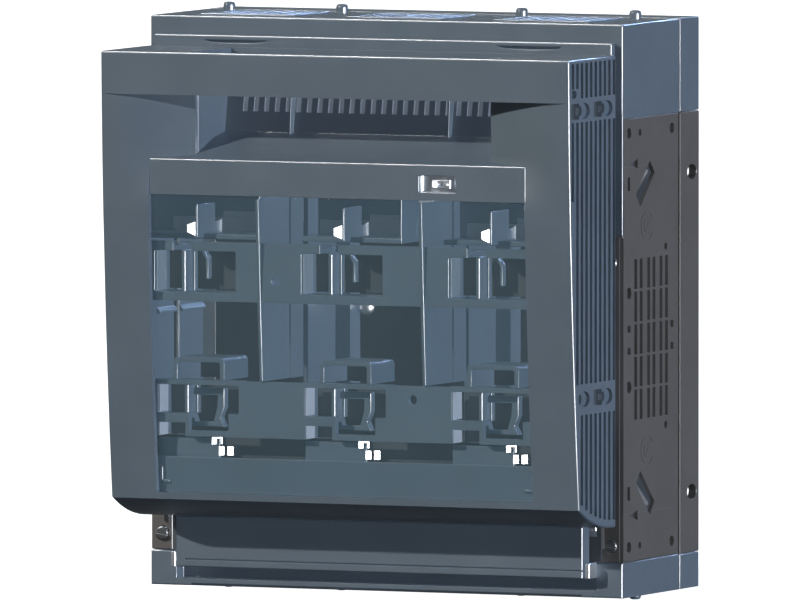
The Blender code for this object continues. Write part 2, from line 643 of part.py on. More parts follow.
def hinge_apron():
    """Lower skirt of the cover: a shallow tray, open behind, that turns on the hinge pins."""
    tray = box((-APRON_HALF, APRON_HALF), (APRON_FRONT, APRON_BACK), (APRON_BOTTOM, APRON_TOP))
    inner = APRON_HALF - 2.4
    hollow = box((-inner, inner), (APRON_FRONT + 2.4, APRON_BACK + CUT),
                 (APRON_BOTTOM + 1.6, APRON_TOP - 2.4))
    pin_holes = both_sides([
        prism_x(ring(HINGE[1:], 2.3, 16), inner - CUT, APRON_HALF + CUT)
    ])
    part("hinge_apron", SHELL, tray, COVER_AXES, cuts=[[hollow], pin_holes])


def lock():
    """Small tray behind the header's opening, and the locking slide that runs in it."""
    x, y, z = LOCK
    tray = box((42.8, 65.5), (HEADER_FRONT + 3 + GAP, -149.6), (59.0, 70.2))
    pocket = box((44.3, 64.0), (HEADER_FRONT, -151.4), (60.5, 68.7))
    part("lock_bezel", STEEL, tray, COVER_AXES, cuts=[[pocket]])
    slide = box((-5.0, 5.0), (-1.2, 1.2), (-2.3, 2.3))
    eye = prism_y(ring((0.0, 0.0), 1.2, 12), -2.0, 2.0)
    part("lock_slide", STEEL, slide, LOCK_AXES, LOCK, cuts=[[eye]])


rear_frame()
rear_shroud("rear_top_shroud", BASE_TOP + GAP, TOP, BASE_TOP - CUT, TOP - COVER_WALL)
rear_shroud("rear_bottom_shroud", BOTTOM, BASE_BOTTOM - GAP, BOTTOM + COVER_WALL, BASE_BOTTOM + CUT)
base_housing()
phase_barriers()
side_covers()
side_cover_screws()
top_terminal_cover()
top_cover_lid()
cable_grilles()
bottom_terminal_cover()
contacts()
hinge_brackets()

cover_frame()
grip_pan()
vent_grille()
window()
window_sill()
carrier_upper()
crossbars()
for index, pole_x in enumerate(POLES, 1):
    fuse_grip(f"fuse_grip_{index}", pole_x)
carrier_ribs()
hinge_apron()
lock()
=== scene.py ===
import json
import math

import bmesh
import bpy
from mathutils import Matrix, Vector

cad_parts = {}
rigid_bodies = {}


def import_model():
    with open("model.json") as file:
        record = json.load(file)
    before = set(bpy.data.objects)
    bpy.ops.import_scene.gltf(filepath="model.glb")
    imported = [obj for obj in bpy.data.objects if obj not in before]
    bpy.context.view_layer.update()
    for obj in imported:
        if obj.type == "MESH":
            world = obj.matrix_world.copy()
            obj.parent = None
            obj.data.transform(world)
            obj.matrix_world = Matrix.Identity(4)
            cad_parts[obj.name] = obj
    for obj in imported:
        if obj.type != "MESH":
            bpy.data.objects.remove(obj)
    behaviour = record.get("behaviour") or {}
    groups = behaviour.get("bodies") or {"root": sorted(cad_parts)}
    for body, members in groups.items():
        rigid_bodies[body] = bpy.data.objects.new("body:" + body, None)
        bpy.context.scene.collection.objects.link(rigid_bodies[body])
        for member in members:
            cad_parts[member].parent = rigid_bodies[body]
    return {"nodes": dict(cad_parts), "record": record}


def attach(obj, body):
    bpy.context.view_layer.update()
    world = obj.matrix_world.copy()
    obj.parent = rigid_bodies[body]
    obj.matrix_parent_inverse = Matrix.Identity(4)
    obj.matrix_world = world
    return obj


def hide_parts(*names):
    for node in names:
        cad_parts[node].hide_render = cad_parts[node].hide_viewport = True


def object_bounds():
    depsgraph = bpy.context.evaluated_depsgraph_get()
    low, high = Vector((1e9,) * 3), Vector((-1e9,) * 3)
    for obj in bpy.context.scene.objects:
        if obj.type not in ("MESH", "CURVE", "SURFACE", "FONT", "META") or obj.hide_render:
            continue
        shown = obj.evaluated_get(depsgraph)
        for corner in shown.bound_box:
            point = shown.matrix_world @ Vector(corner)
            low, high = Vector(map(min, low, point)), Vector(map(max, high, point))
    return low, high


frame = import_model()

CAD_BOX = [list(corner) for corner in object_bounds()]
IN_SCENE = bpy.context.scene.collection.objects
MM = 0.001

# ---------------------------------------------------------------- materials


class Nodes:
    """Short way to add nodes to a material and link them."""

    def __init__(self, tree):
        self.tree = tree

    def add(self, kind, **settings):
        node = self.tree.nodes.new("ShaderNode" + kind)
        for key, value in settings.items():
            setattr(node, key, value)
        return node

    def link(self, out, into):
        self.tree.links.new(out, into)

    def noise(self, where, scale, detail=2.0, rough=0.5):
        node = self.add("TexNoise")
        node.inputs["Scale"].default_value = scale
        node.inputs["Detail"].default_value = detail
        node.inputs["Roughness"].default_value = rough
        self.link(where, node.inputs["Vector"])
        return node.outputs["Fac"]

    def span(self, value, low, high, to_low=0.0, to_high=1.0):
        node = self.add("MapRange")
        for key, number in zip(("From Min", "From Max", "To Min", "To Max"),
                               (low, high, to_low, to_high)):
            node.inputs[key].default_value = number
        self.link(value, node.inputs["Value"])
        return node.outputs["Result"]

    def math(self, operation, first, second):
        node = self.add("Math", operation=operation)
        for slot, value in enumerate((first, second)):
            if isinstance(value, (int, float)):
                node.inputs[slot].default_value = value
            else:
                self.link(value, node.inputs[slot])
        return node.outputs["Value"]

    def mix(self, factor, first, second):
        node = self.add("Mix", data_type="RGBA")
        for slot, value in ((0, factor), (6, first), (7, second)):
            if isinstance(value, tuple):
                node.inputs[slot].default_value = (*value, 1.0)
            elif isinstance(value, (int, float)):
                node.inputs[slot].default_value = value
            else:
                self.link(value, node.inputs[slot])
        return node.outputs[2]


def new_material(name):
    """A node material, its nodes, its shader and the object's own coordinates."""
    made = bpy.data.materials.new(name)
    made.use_nodes = True
    nodes = Nodes(made.node_tree)
    where = nodes.add("TexCoord").outputs["Object"]
    return made, nodes, made.node_tree.nodes["Principled BSDF"], where


def add_bump(nodes, shader, height, strength, distance):
    bump = nodes.add("Bump")
    bump.inputs["Strength"].default_value = strength
    bump.inputs["Distance"].default_value = distance
    nodes.link(height, bump.inputs["Height"])
    nodes.link(bump.outputs["Normal"], shader.inputs["Normal"])


def edge_mask(nodes, radius):
    """1 on the outer edges of a piece and 0 on its flat faces."""
    bevel = nodes.add("Bevel", samples=4)
    bevel.inputs["Radius"].default_value = radius
    shape = nodes.add("NewGeometry")
    dot = nodes.add("VectorMath", operation="DOT_PRODUCT")
    nodes.link(bevel.outputs["Normal"], dot.inputs[0])
    nodes.link(shape.outputs["Normal"], dot.inputs[1])
    return nodes.span(dot.outputs["Value"], 0.985, 0.80)


def plastic(name, colour, roughness, grain=0.06, edge_paling=0.25, specular=0.5):
    """Moulded plastic: fine spark-eroded grain, faint flow clouds, polished edges, and paler edges
    that are partly wear and partly a painted highlight.
    """
    made, nodes, shader, where = new_material(name)
    clouds = nodes.noise(where, 26.0, 3.0)
    fine = nodes.noise(where, 1900.0, 2.0, 0.6)
    dark = tuple(channel * 0.95 for channel in colour)
    light = tuple(min(1.0, channel * 1.05) for channel in colour)
    bright_edge_colour = tuple(min(1.0, channel * 1.7 + 0.03) for channel in colour)
    base = nodes.mix(nodes.span(clouds, 0.3, 0.7), dark, light)
    # Edges are mixed toward a paler colour: partly wear, partly a painted highlight for the light
    # on rounded edges.
    worn_and_highlit = nodes.math("MULTIPLY", edge_mask(nodes, 0.0007),
                        nodes.span(nodes.noise(where, 140.0), 0.35, 0.65, edge_paling * 0.45, edge_paling))
    nodes.link(nodes.mix(worn_and_highlit, base, bright_edge_colour), shader.inputs["Base Color"])
    patchy = nodes.span(nodes.noise(where, 60.0, 3.0), 0.3, 0.7, roughness - 0.04, roughness + 0.05)
    nodes.link(nodes.math("SUBTRACT", patchy, nodes.math("MULTIPLY", worn_and_highlit, 0.25)),
               shader.inputs["Roughness"])
    add_bump(nodes, shader, fine, grain, 0.0002)
    shader.inputs["Specular IOR Level"].default_value = specular
    return made


def metal(name, colour, roughness, along=(1.0, 1.0, 14.0)):
    """Brushed, plated metal with drawn lines, faint stains, and bright edges that are partly wear
    and partly a painted highlight.
    """
    made, nodes, shader, where = new_material(name)
    stretch = nodes.add("Mapping")
    stretch.inputs["Scale"].default_value = along
    nodes.link(where, stretch.inputs["Vector"])
    lines = nodes.noise(stretch.outputs["Vector"], 320.0, 4.0, 0.65)
    stains = nodes.noise(where, 45.0, 3.0)
    dull = tuple(channel * 0.78 for channel in colour)
    base = nodes.mix(nodes.span(stains, 0.35, 0.7), colour, dull)
    # Edges are mixed toward bright grey: partly wear, partly a painted highlight.
    worn_and_highlit = nodes.math("MULTIPLY", edge_mask(nodes, 0.0004), 0.4)
    nodes.link(nodes.mix(worn_and_highlit, base, (0.9, 0.9, 0.9)), shader.inputs["Base Color"])
    nodes.link(nodes.span(lines, 0.25, 0.75, roughness - 0.07, roughness + 0.1),
               shader.inputs["Roughness"])
    shader.inputs["Metallic"].default_value = 1.0
    add_bump(nodes, shader, lines, 0.12, 0.0001)
    return made


def clear(name, tint):
    """Clear polycarbonate: tinted, faintly smeared and a little wavy."""
    made, nodes, shader, where = new_material(name)
    smears = nodes.noise(where, 30.0, 4.0)
    nodes.link(nodes.mix(nodes.span(smears, 0.3, 0.7), tint, tuple(c * 0.93 for c in tint)),
               shader.inputs["Base Color"])
    nodes.link(nodes.span(smears, 0.35, 0.7, 0.05, 0.12), shader.inputs["Roughness"])
    shader.inputs["Alpha"].default_value = 0.1
    shader.inputs["IOR"].default_value = 1.58
    add_bump(nodes, shader, smears, 0.03, 0.0005)
    return made


SHELL = plastic("shell_plastic", (0.096, 0.124, 0.147), 0.32)
BASE = plastic("base_plastic", (0.078, 0.071, 0.063), 0.42)
CARRIER = plastic("carrier_plastic", (0.085, 0.122, 0.15), 0.33)
CLEAR = clear("window_clear", (0.16, 0.26, 0.3))
CONTACT = metal("contact_metal", (0.36, 0.38, 0.41), 0.3)
STEEL = metal("fastener_steel", (0.42, 0.44, 0.47), 0.34)

# Painted light: a pale plastic that paints the lit look onto the vent comb under the beam and onto
# the fuse cheeks.
PAINTED_LIT = plastic("painted_lit_plastic", (0.32, 0.35, 0.38), 0.5)
# Painted light: a lighter plastic that paints the lit lower panels in the grip pockets and the lit
# hood cheeks.
PAINTED_LIGHTER = plastic("painted_lighter_plastic", (0.15, 0.19, 0.21), 0.4)
# Painted shade: near-black plastic for screens and liners that stand where there is only shade.
PAINTED_SHADE = plastic("painted_shade_plastic", (0.026, 0.036, 0.042), 0.45)
SCREW = metal("dark_screw_steel", (0.12, 0.125, 0.13), 0.35)

FINISHES = {"shell_plastic": SHELL, "base_plastic": BASE, "carrier_plastic": CARRIER,
            "window_clear": CLEAR, "contact_metal": CONTACT, "steel": STEEL}
SLOT_OF = {material: slot for slot, material in FINISHES.items()}
SLOT_OF.update({PAINTED_LIT: "carrier_plastic", PAINTED_LIGHTER: "carrier_plastic", PAINTED_SHADE: "base_plastic",
                SCREW: "steel"})

# ---------------------------------------------------------------- main dimensions, in millimetres

COVER = "swing_cover"
POLES = (-79.6, 0.0, 79.6)
HALF_WIDTH = 128.0
TOP = 142.25
BOTTOM = -142.25
SPLIT_FRONT = -25.0
FRONT = -96.6
BASE_FRONT = -95.8
BASE_TOP = 95.4
BASE_BOTTOM = -124.5
MIRROR_Z = -29.2
HOUSING_HALF = 116.2
BAY_HALF = 113.9
COVER_HALF = 126.6
COVER_BACK = -101.5
COVER_TOP = 127.3
FRONT_LOW = (-147.3, -95.6)
FRONT_MIDDLE = (-155.3, 0.0)
FRONT_HIGH = (-160.25, COVER_TOP)
NOSE_MIDDLE = (-123.0, -104.6)
NOSE_BACK = (COVER_BACK, -106.6)
BEAM_HALF = 119.2
BEAM_FRONT = -161.0
BEAM_BOTTOM = 106.0
GRIP_HALF = 79.8
HEADER_HALF = 101.8
HEADER_BOTTOM = 56.4
HEADER_TOP = 74.5
HEADER_FRONT = -156.6
WINDOW_BOTTOM = -92.4
APRON_HALF = 110.3
APRON_FRONT = -105.6
APRON_BACK = -96.9
APRON_TOP = -106.9
APRON_BOTTOM = -132.3
CARRIER_HALF = 123.2
BAY_HEIGHTS = (-95.0, 72.0)
VENT_PITCH = 5.78
PEG_Y = -40.0
SIDE_SCREW_X = 121.8
SIDE_SCREWS = (("upper", 24.0), ("lower", -116.5))
TEST_OPENING = (-68.0, 62.2)
TEST_OPENING_ANGLE = 42.0
HINGE = (0.0, -100.6, -128.5)
LOCK = (55.8, -154.6, 64.6)
LOCK_WAY = ((44.3, 64.0), (60.5, 68.7))

# ---------------------------------------------------------------- shapes


def hull(loops):
    """A closed solid through loops of points in millimetres. Every shape is a call on a bmesh."""
    def build(bm):
        made = [[bm.verts.new(Vector(point) * MM) for point in loop] for loop in loops]
        for low, high in zip(made, made[1:]):
            for index in range(len(low)):
                after = (index + 1) % len(low)
                bm.faces.new((low[index], low[after], high[after], high[index]))
        bm.faces.new(made[0])
        bm.faces.new(made[-1])
    return build


def prism_x(outline, low, high):
    return hull([[(x, y, z) for y, z in outline] for x in (low, high)])


def prism_y(outline, low, high):
    return hull([[(x, y, z) for x, z in outline] for y in (low, high)])


def prism_z(outline, low, high):
    return hull([[(x, y, z) for x, y in outline] for z in (low, high)])


def box(x, y, z):
    return prism_z([(x[0], y[0]), (x[1], y[0]), (x[1], y[1]), (x[0], y[1])], *z)


def ring(middle, radius, sides=24, stretch=1.0, turn=0.0):
    corners = [turn + math.tau * index / sides for index in range(sides)]
    return [(middle[0] + stretch * radius * math.cos(corner),
             middle[1] + radius * math.sin(corner)) for corner in corners]


def rounded_outline(x, y, radius, steps=4):
    """A rectangle between the pairs x and y with rounded corners."""
    corners = ((x[1], y[1], 0), (x[0], y[1], 90), (x[0], y[0], 180), (x[1], y[0], 270))
    points = []
    for at_x, at_y, start in corners:
        middle = Vector((at_x - radius * (1 if start in (0, 270) else -1),
                         at_y - radius * (1 if start in (0, 90) else -1)))
        for step in range(steps + 1):
            angle = math.radians(start + 90 * step / steps)
            points.append((middle.x + radius * math.cos(angle),
                           middle.y + radius * math.sin(angle)))
    return points


def band(middle, radius, width, start, sweep, steps=24):
    """An open ring of that width, from start round by sweep degrees."""
    points = []
    for reach, order in ((radius, range(steps + 1)), (radius - width, range(steps, -1, -1))):
        for step in order:
            angle = math.radians(start + sweep * step / steps)
            points.append((middle[0] + reach * math.cos(angle),
                           middle[1] + reach * math.sin(angle)))
    return points


def slot_outline(middle, length, width, angle):
    turned = Matrix.Rotation(math.radians(angle), 2)
    ends = [(-length / 2, -width / 2), (length / 2, -width / 2),
            (length / 2, width / 2), (-length / 2, width / 2)]
    return [tuple(Vector(middle) + turned @ Vector(end)) for end in ends]


def arc(start, through, end, steps):
    """Points on the circle through three points, from start to end."""
    a, b, c = (Vector(point) for point in (start, through, end))
    across, along = b - a, c - a
    scale = 2 * (across.x * along.y - across.y * along.x)
    square_b, square_c = across.length_squared, along.length_squared
    middle = a + Vector((along.y * square_b - across.y * square_c,
                         across.x * square_c - along.x * square_b)) / scale
    first, radius = a - middle, (a - middle).length
    sweep = -first.angle_signed(c - middle)
    return [tuple(middle + radius * (Matrix.Rotation(sweep * step / steps, 2) @ first.normalized()))
            for step in range(steps + 1)]


def changed(shape, place_of):
    """The shape with each of its points put where place_of says."""
    def build(bm):
        before = set(bm.verts)
        shape(bm)
        for vert in set(bm.verts) - before:
            vert.co = place_of(vert.co)
    return build


def moved(shape, x, y=0.0, z=0.0):
    return changed(shape, lambda point: point + Vector((x, y, z)) * MM)


def mirrored_x(shape):
    return changed(shape, lambda point: (-point.x, point.y, point.z))


def as_is(shape):
    return shape


def both_sides(shapes):
    return [*shapes, *(mirrored_x(shape) for shape in shapes)]


SIDES = (("right", as_is), ("left", mirrored_x))


def rounded(shape, radius, steps=3, where=None):
    """The shape with its sharp edges rounded, or only those whose middle point passes where."""
    def build(bm):
        own = bmesh.new()
        shape(own)
        bmesh.ops.recalc_face_normals(own, faces=own.faces)
        edges = []
        for edge in own.edges:
            middle = (edge.verts[0].co + edge.verts[1].co) / (2 * MM)
            if edge.calc_face_angle(0.0) > math.radians(30) and (where is None or where(middle)):
                edges.append(edge)
        bmesh.ops.bevel(own, geom=edges, offset=radius * MM, offset_type="OFFSET",
                        segments=steps, profile=0.5, affect="EDGES", clamp_overlap=True)
        mesh = bpy.data.meshes.new("own")
        own.to_mesh(mesh)
        own.free()
        bm.from_mesh(mesh)
        bpy.data.meshes.remove(mesh)
    return build


def mesh_of(name, shapes):
    bm = bmesh.new()
    for shape in shapes:
        shape(bm)
    bmesh.ops.recalc_face_normals(bm, faces=bm.faces)
    mesh = bpy.data.meshes.new(name)
    bm.to_mesh(mesh)
    bm.free()
    return mesh


def add_bevel(made, name, width, segments, sharper_than=None):
    """Round the edges sharper than that angle, or the weighted ones when there is no angle."""
    rounding = made.modifiers.new(name, "BEVEL")
    rounding.width = width * MM
    rounding.segments = segments
    rounding.limit_method = "ANGLE" if sharper_than else "WEIGHT"
    if sharper_than:
        rounding.angle_limit = math.radians(sharper_than)


def combine(made, joins, cuts):
    """Add the joined groups of shapes to an object, and take the cut groups away from it.

    The shapes of one group stay clear of each other, or the exact solver drops them all.
    """
    helpers = []
    for operation, groups in (("UNION", joins), ("DIFFERENCE", cuts)):
        for group in groups:
            helper = bpy.data.objects.new("helper", mesh_of("helper", group))
            IN_SCENE.link(helper)
            helpers.append(helper)
            modifier = made.modifiers.new(operation, "BOOLEAN")
            modifier.operation = operation
            modifier.solver = "EXACT"
            modifier.object = helper
    if helpers:
        graph = bpy.context.evaluated_depsgraph_get()
        before = made.data
        made.data = bpy.data.meshes.new_from_object(made.evaluated_get(graph))
        made.modifiers.clear()
        bpy.data.meshes.remove(before)
    for helper in helpers:
        mesh = helper.data
        bpy.data.objects.remove(helper)
        bpy.data.meshes.remove(mesh)


def piece(name, finish, body, ride="base", stands_for=(), joins=(), cuts=(), edge=0.35,
          steps=2, sharp=32.0, soft=None):
    """One visual piece: body, then joined and cut groups of shapes, with small rounded edges.

    ride names the CAD body that it moves with, and stands_for the CAD nodes that it replaces.
    soft picks the edges, by their two ends, that get a broader round than the rest.
    """
    made = bpy.data.objects.new(name, mesh_of(name, [body]))
    IN_SCENE.link(made)
    combine(made, joins, cuts)
    bm = bmesh.new()
    bm.from_mesh(made.data)
    bmesh.ops.remove_doubles(bm, verts=bm.verts, dist=1e-6)
    bmesh.ops.dissolve_limit(bm, angle_limit=math.radians(0.3), verts=bm.verts, edges=bm.edges)
    bm.to_mesh(made.data)
    bm.free()
    made.data.name = name
    made.data.materials.clear()
    made.data.materials.append(finish)
    for face in made.data.polygons:
        face.use_smooth = True
    made.data.set_sharp_from_angle(angle=math.radians(sharp))
    if soft:
        mesh = made.data
        weights = mesh.attributes.new("bevel_weight_edge", "FLOAT", "EDGE")
        for line in mesh.edges:
            ends = [mesh.vertices[index].co / MM for index in line.vertices]
            weights.data[line.index].value = 1.0 if soft(*ends) else 0.0
        add_bevel(made, "soft", 1.1, 4)
    if edge:
        add_bevel(made, "rounding", edge, steps, 40)
    level = made.modifiers.new("level", "WEIGHTED_NORMAL")
    level.mode = "FACE_AREA"
    level.weight = 100
    level.keep_sharp = True
    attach(made, ride)
    if stands_for:
        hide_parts(*stands_for)
    return made


# ---------------------------------------------------------------- swing cover


def between(points, value):
    """The second number at value, on the line through points sorted by their first number."""
    for (low, first), (high, second) in zip(points, points[1:]):
        if low <= value <= high:
            return first + (second - first) * (value - low) / (high - low)
    return points[0][1] if value < points[0][0] else points[-1][1]


def front_y(z):
    """The y of the cover's slightly bowed front at height z."""
    return between([(height, y) for y, height in arc(FRONT_LOW, FRONT_MIDDLE, FRONT_HIGH, 24)], z)


def nose_z(y):
    """The z of the cover's rounded lower edge at depth y."""
    return between(arc(FRONT_LOW, NOSE_MIDDLE, NOSE_BACK, 16), y)


def smooth_step(value):
    value = min(1.0, max(0.0, value))
    return value * value * (3 - 2 * value)


def face_y(x, z):
    """The cover's front at x and z: bowed, scooped towards the grip and full at the beam."""
    y = front_y(z)
    inward = min(1.0, max(0.0, (BEAM_HALF - abs(x)) / (BEAM_HALF - GRIP_HALF)))
    if z > BEAM_BOTTOM:
        return y + (BEAM_FRONT - y) * (1.0 if abs(x) < BEAM_HALF else 0.0)
    return y + 10.6 * inward ** 1.35 * smooth_step((z - 46.0) / 34.0)


def cover_grooves():
    """Upright grooves in the cover's right side, broken by two bands of round and square marks."""
    depth = (COVER_HALF - 4, COVER_HALF + 1)
    pitch, width = 5.7, 2.9
    slots, marks, squares, eyes = [], [], [], []
    for index in range(10):
        y = -155.4 + pitch * index
        low = nose_z(y) + 4.0
        while front_y(low) > y - width:
            low += 1.0
        upper_start = 112.9 if index < 2 else 108.0
        for start, end in ((low, -48.5), (max(low, -33.4), 96.3), (upper_start, 125.4)):
            if end - start > 4:
                slots.append(box(depth, (y - width / 2, y + width / 2), (start, end)))
    for height in (101.7, -40.8):
        for y in (-141.4, -112.9):
            marks.append(prism_x(ring((y, height), 4.1, 36, stretch=1.7), COVER_HALF - 1.8,
                                 COVER_HALF + 1))
            eyes.append(prism_x(ring((y - 2.4, height), 3.1, 28, stretch=1.1), *depth))
        for y in (-152.7, -124.4):
            if front_y(height) < y - 5.5:
                squares.append(prism_x(slot_outline((y + 0.2, height), 9.8, 7.9, 0), *depth))
    marks.append(prism_x(ring((-154.0, 110.2), 2.1, 24, stretch=1.6), COVER_HALF - 2.3,
                         COVER_HALF + 1))
    return slots, marks, squares, eyes


def cover_frame():
    """Outer moulding: bowed front with scooped cheeks, ribbed sides, beam and rounded foot."""
    nose = arc(NOSE_BACK, NOSE_MIDDLE, FRONT_LOW, 10)
    low = FRONT_LOW[1]
    heights = [low + (44.0 - low) * step / 9 for step in range(1, 10)]
    heights += [46.0 + 3.0 * step for step in range(20)] + [BEAM_BOTTOM, BEAM_BOTTOM + 0.12]
    heights += [111.0, 116.0, 121.0, COVER_TOP]
    widths = [COVER_HALF, BEAM_HALF + 4.6, BEAM_HALF - 0.1]
    widths += [BEAM_HALF - (BEAM_HALF - GRIP_HALF) * step / 14 for step in range(1, 15)]
    rings = []
    for x in [-width for width in widths] + list(reversed(widths)):
        outline = [(x, y, z) for y, z in nose]
        outline += [(x, face_y(x, z), z) for z in heights]
        outline.append((x, COVER_BACK, COVER_TOP))
        rings.append(outline)

    def on_rim(middle):
        at_side = abs(middle.x) > COVER_HALF - 0.1
        at_top = middle.z > COVER_TOP - 0.1
        return at_side or at_top

    outer = rounded(hull(rings), 1.1, 4, on_rim)

    wall = 3.0
    front = arc(FRONT_LOW, FRONT_MIDDLE, FRONT_HIGH, 16)
    back = COVER_BACK + 1
    inside = [(back, nose[0][1] + wall), *((y, z + wall) for y, z in nose[1:-1]),
              (FRONT_LOW[0] + wall, FRONT_LOW[1] + wall),
              *((y + wall, z) for y, z in front if -92 < z < 70),
              (front_y(71.0) + wall, 71.0), (-146.0, 71.0), (-146.0, 109.9),
              (-156.6, 109.9), (-156.6, COVER_TOP - wall), (back, COVER_TOP - wall)]
    hollow = prism_x(inside, wall - COVER_HALF, COVER_HALF - wall)
    window = box((-HEADER_HALF, HEADER_HALF), (-175.0, -140.0), (WINDOW_BOTTOM, HEADER_TOP))
    grip = box((-GRIP_HALF, GRIP_HALF), (-175.0, -140.0), (HEADER_TOP - 1, BEAM_BOTTOM))
    top_way = box((-GRIP_HALF, GRIP_HALF), (-156.8, -105.9), (COVER_TOP - 6, COVER_TOP + 1))

    def on_grip_edge(a, b):
        at_grip = abs(abs(a.x) - GRIP_HALF) < 0.01 and abs(a.x - b.x) < 0.01
        return at_grip and max(a.y, b.y) < -146.0 and min(a.z, b.z) > HEADER_TOP - 1

    cuts = [[hollow], [window], [grip], [top_way], *map(both_sides, cover_grooves())]
    piece("cover_shell", SHELL, outer, COVER, ["cover_frame"], cuts=cuts, edge=0.28,
          soft=on_grip_edge)
    # The groove liners are painted shade: dark sheets behind the grooves and marks, so these read
    # dark.
    low = [(FRONT_LOW[0] + 6.0, -84.0), (-139.0, -95.0), (-106.0, -98.0)]
    liner = low + [(-106.0, 122.0), (-153.5, 122.0), (-149.5, 0.0)]
    for label, turn in SIDES:
        piece(f"groove_liner_{label}", PAINTED_SHADE, turn(prism_x(liner, 122.4, 123.5)), COVER,
              edge=0.1)


def grip_pan():
    """Header band and, behind the beam, the sloping ledge, leaning back wall and cheeks."""
    half, header_half = GRIP_HALF - 0.3, HEADER_HALF - 0.3
    header = rounded(box((-header_half, header_half), (HEADER_FRONT, HEADER_FRONT + 3),
                         (HEADER_BOTTOM, HEADER_TOP - 0.3)), 0.8, 3,
                     lambda middle: middle.y < HEADER_FRONT + 0.1 and middle.z > HEADER_TOP - 1)
    ledge = [(HEADER_FRONT + 0.7, HEADER_TOP - 0.6), (-128.5, 83.5), (-113.3, 86.2),
             (-112.3, 83.0), (-128.5, 80.0), (HEADER_FRONT + 1.5, 70.8)]
    rise = 9.0 / 28.1
    wing = [(half - 0.5, HEADER_FRONT + 0.7), (header_half, HEADER_FRONT + 0.7),
            (header_half, HEADER_FRONT + 2.0), (half - 0.5, -146.6)]
    wing = hull([[(x, y, HEADER_TOP - 0.6 - drop + rise * (y - HEADER_FRONT - 0.7))
                  for x, y in wing] for drop in (2.4, 0.0)])
    back_wall = [(-114.6, 84.0), (-106.6, 124.0), (-104.1, 124.0), (-112.1, 84.0)]
    cheek_side = [(-146.4, 76.9), (-128.5, 82.8), (-113.0, 84.9), (-105.4, 120.2),
                  (-146.4, 120.2)]
    cheek = prism_x(cheek_side, half + 0.2, half + 2.5)
    gusset = prism_x([(-118.0, 85.0), (-115.5, 120.0), (-107.0, 120.0), (-113.5, 85.0)],
                     42.4, 43.4)
    lock_way = prism_y(rounded_outline(*LOCK_WAY, 0.5), -158.0, -150.0)
    air_slots = [box((x - 1.2, x + 1.2), (-118.0, -100.0), (96.2, 118.0))
                 for x in (VENT_PITCH * index for index in range(-12, 13))
                 if abs(abs(x) - 42.9) > 2.0]
    piece("grip_header", SHELL, header, COVER, cuts=[[lock_way]], edge=0.3)
    piece("grip_insert", SHELL, prism_x(ledge, -half, half), COVER, ["grip_pan"], joins=[
        [prism_x(back_wall, -half, half)], both_sides([cheek]), both_sides([gusset]),
        both_sides([wing]),
    ], cuts=[air_slots], edge=0.3)
    # The comb's pale colour is painted light: lit patches behind the air slots, under the beam's
    # shadow.
    comb = prism_x([(-111.6, 94.6), (-106.9, 118.6), (-106.2, 118.6), (-110.9, 94.6)], -77.0, 77.0)
    piece("vent_comb", PAINTED_LIT, comb, COVER, edge=0.2)


def vent_grille():
    """Thin upright slats in a shallow frame, in the opening behind the beam."""
    half, slat = 79.4, 2.8
    frame_ring = box((-half, half), (-156.3, -106.4), (123.0, 124.6))
    way = box((-half + 1.6, half - 1.6), (-155.6, -108.0), (120.0, 126.0))
    piece("top_slats", SHELL, frame_ring, COVER, ["vent_grille"], cuts=[[way]], edge=0.2)
    for index in range(-13, 14):
        x = VENT_PITCH * index
        bar = box((x - slat / 2, x + slat / 2), (-156.0, -107.0), (121.8, 124.7))
        piece(f"top_slat_{index + 14}", SHELL, rounded(bar, 0.5, 2), COVER, edge=0)


def window():
    """Clear pane behind the bowed front, with two corner clips."""
    low, high = WINDOW_BOTTOM + 0.3, HEADER_BOTTOM - 0.3
    heights = [low + (high - low) * step / 24 for step in range(25)]
    outline = [(front_y(z) + 0.9, z) for z in heights]
    outline += [(y + 1.9, z) for y, z in reversed(outline)]
    half = HEADER_HALF - 0.3
    piece("window_pane", CLEAR, prism_x(outline, -half, half), COVER, ["window"], edge=0.25)
    x, y = HEADER_HALF - 3.2, front_y(-84.0) + 3.2
    clip = rounded(box((x - 2.6, x + 2.6), (y, y + 2.4), (-87.6, -86.0)), 0.5, 3)
    post = rounded(box((x + 1.0, x + 2.6), (y, y + 3.0), (-87.0, -79.5)), 0.5, 3)
    for turn, label in ((mirrored_x, "left"), (as_is, "right")):
        piece(f"window_clip_{label}", CARRIER, turn(clip), COVER, joins=[[turn(post)]], edge=0.2)


def window_sill():
    """Opaque strip behind the lower end of the window."""
    outline = [(front_y(z) + shift, z) for shift, z in
               ((4.0, -93.8), (4.0, -74.5), (6.2, -74.5), (6.2, -93.8))]
    piece("sill_strip", CARRIER, prism_x(outline, -118.0, 118.0), COVER, ["window_sill"],
          edge=0.25)


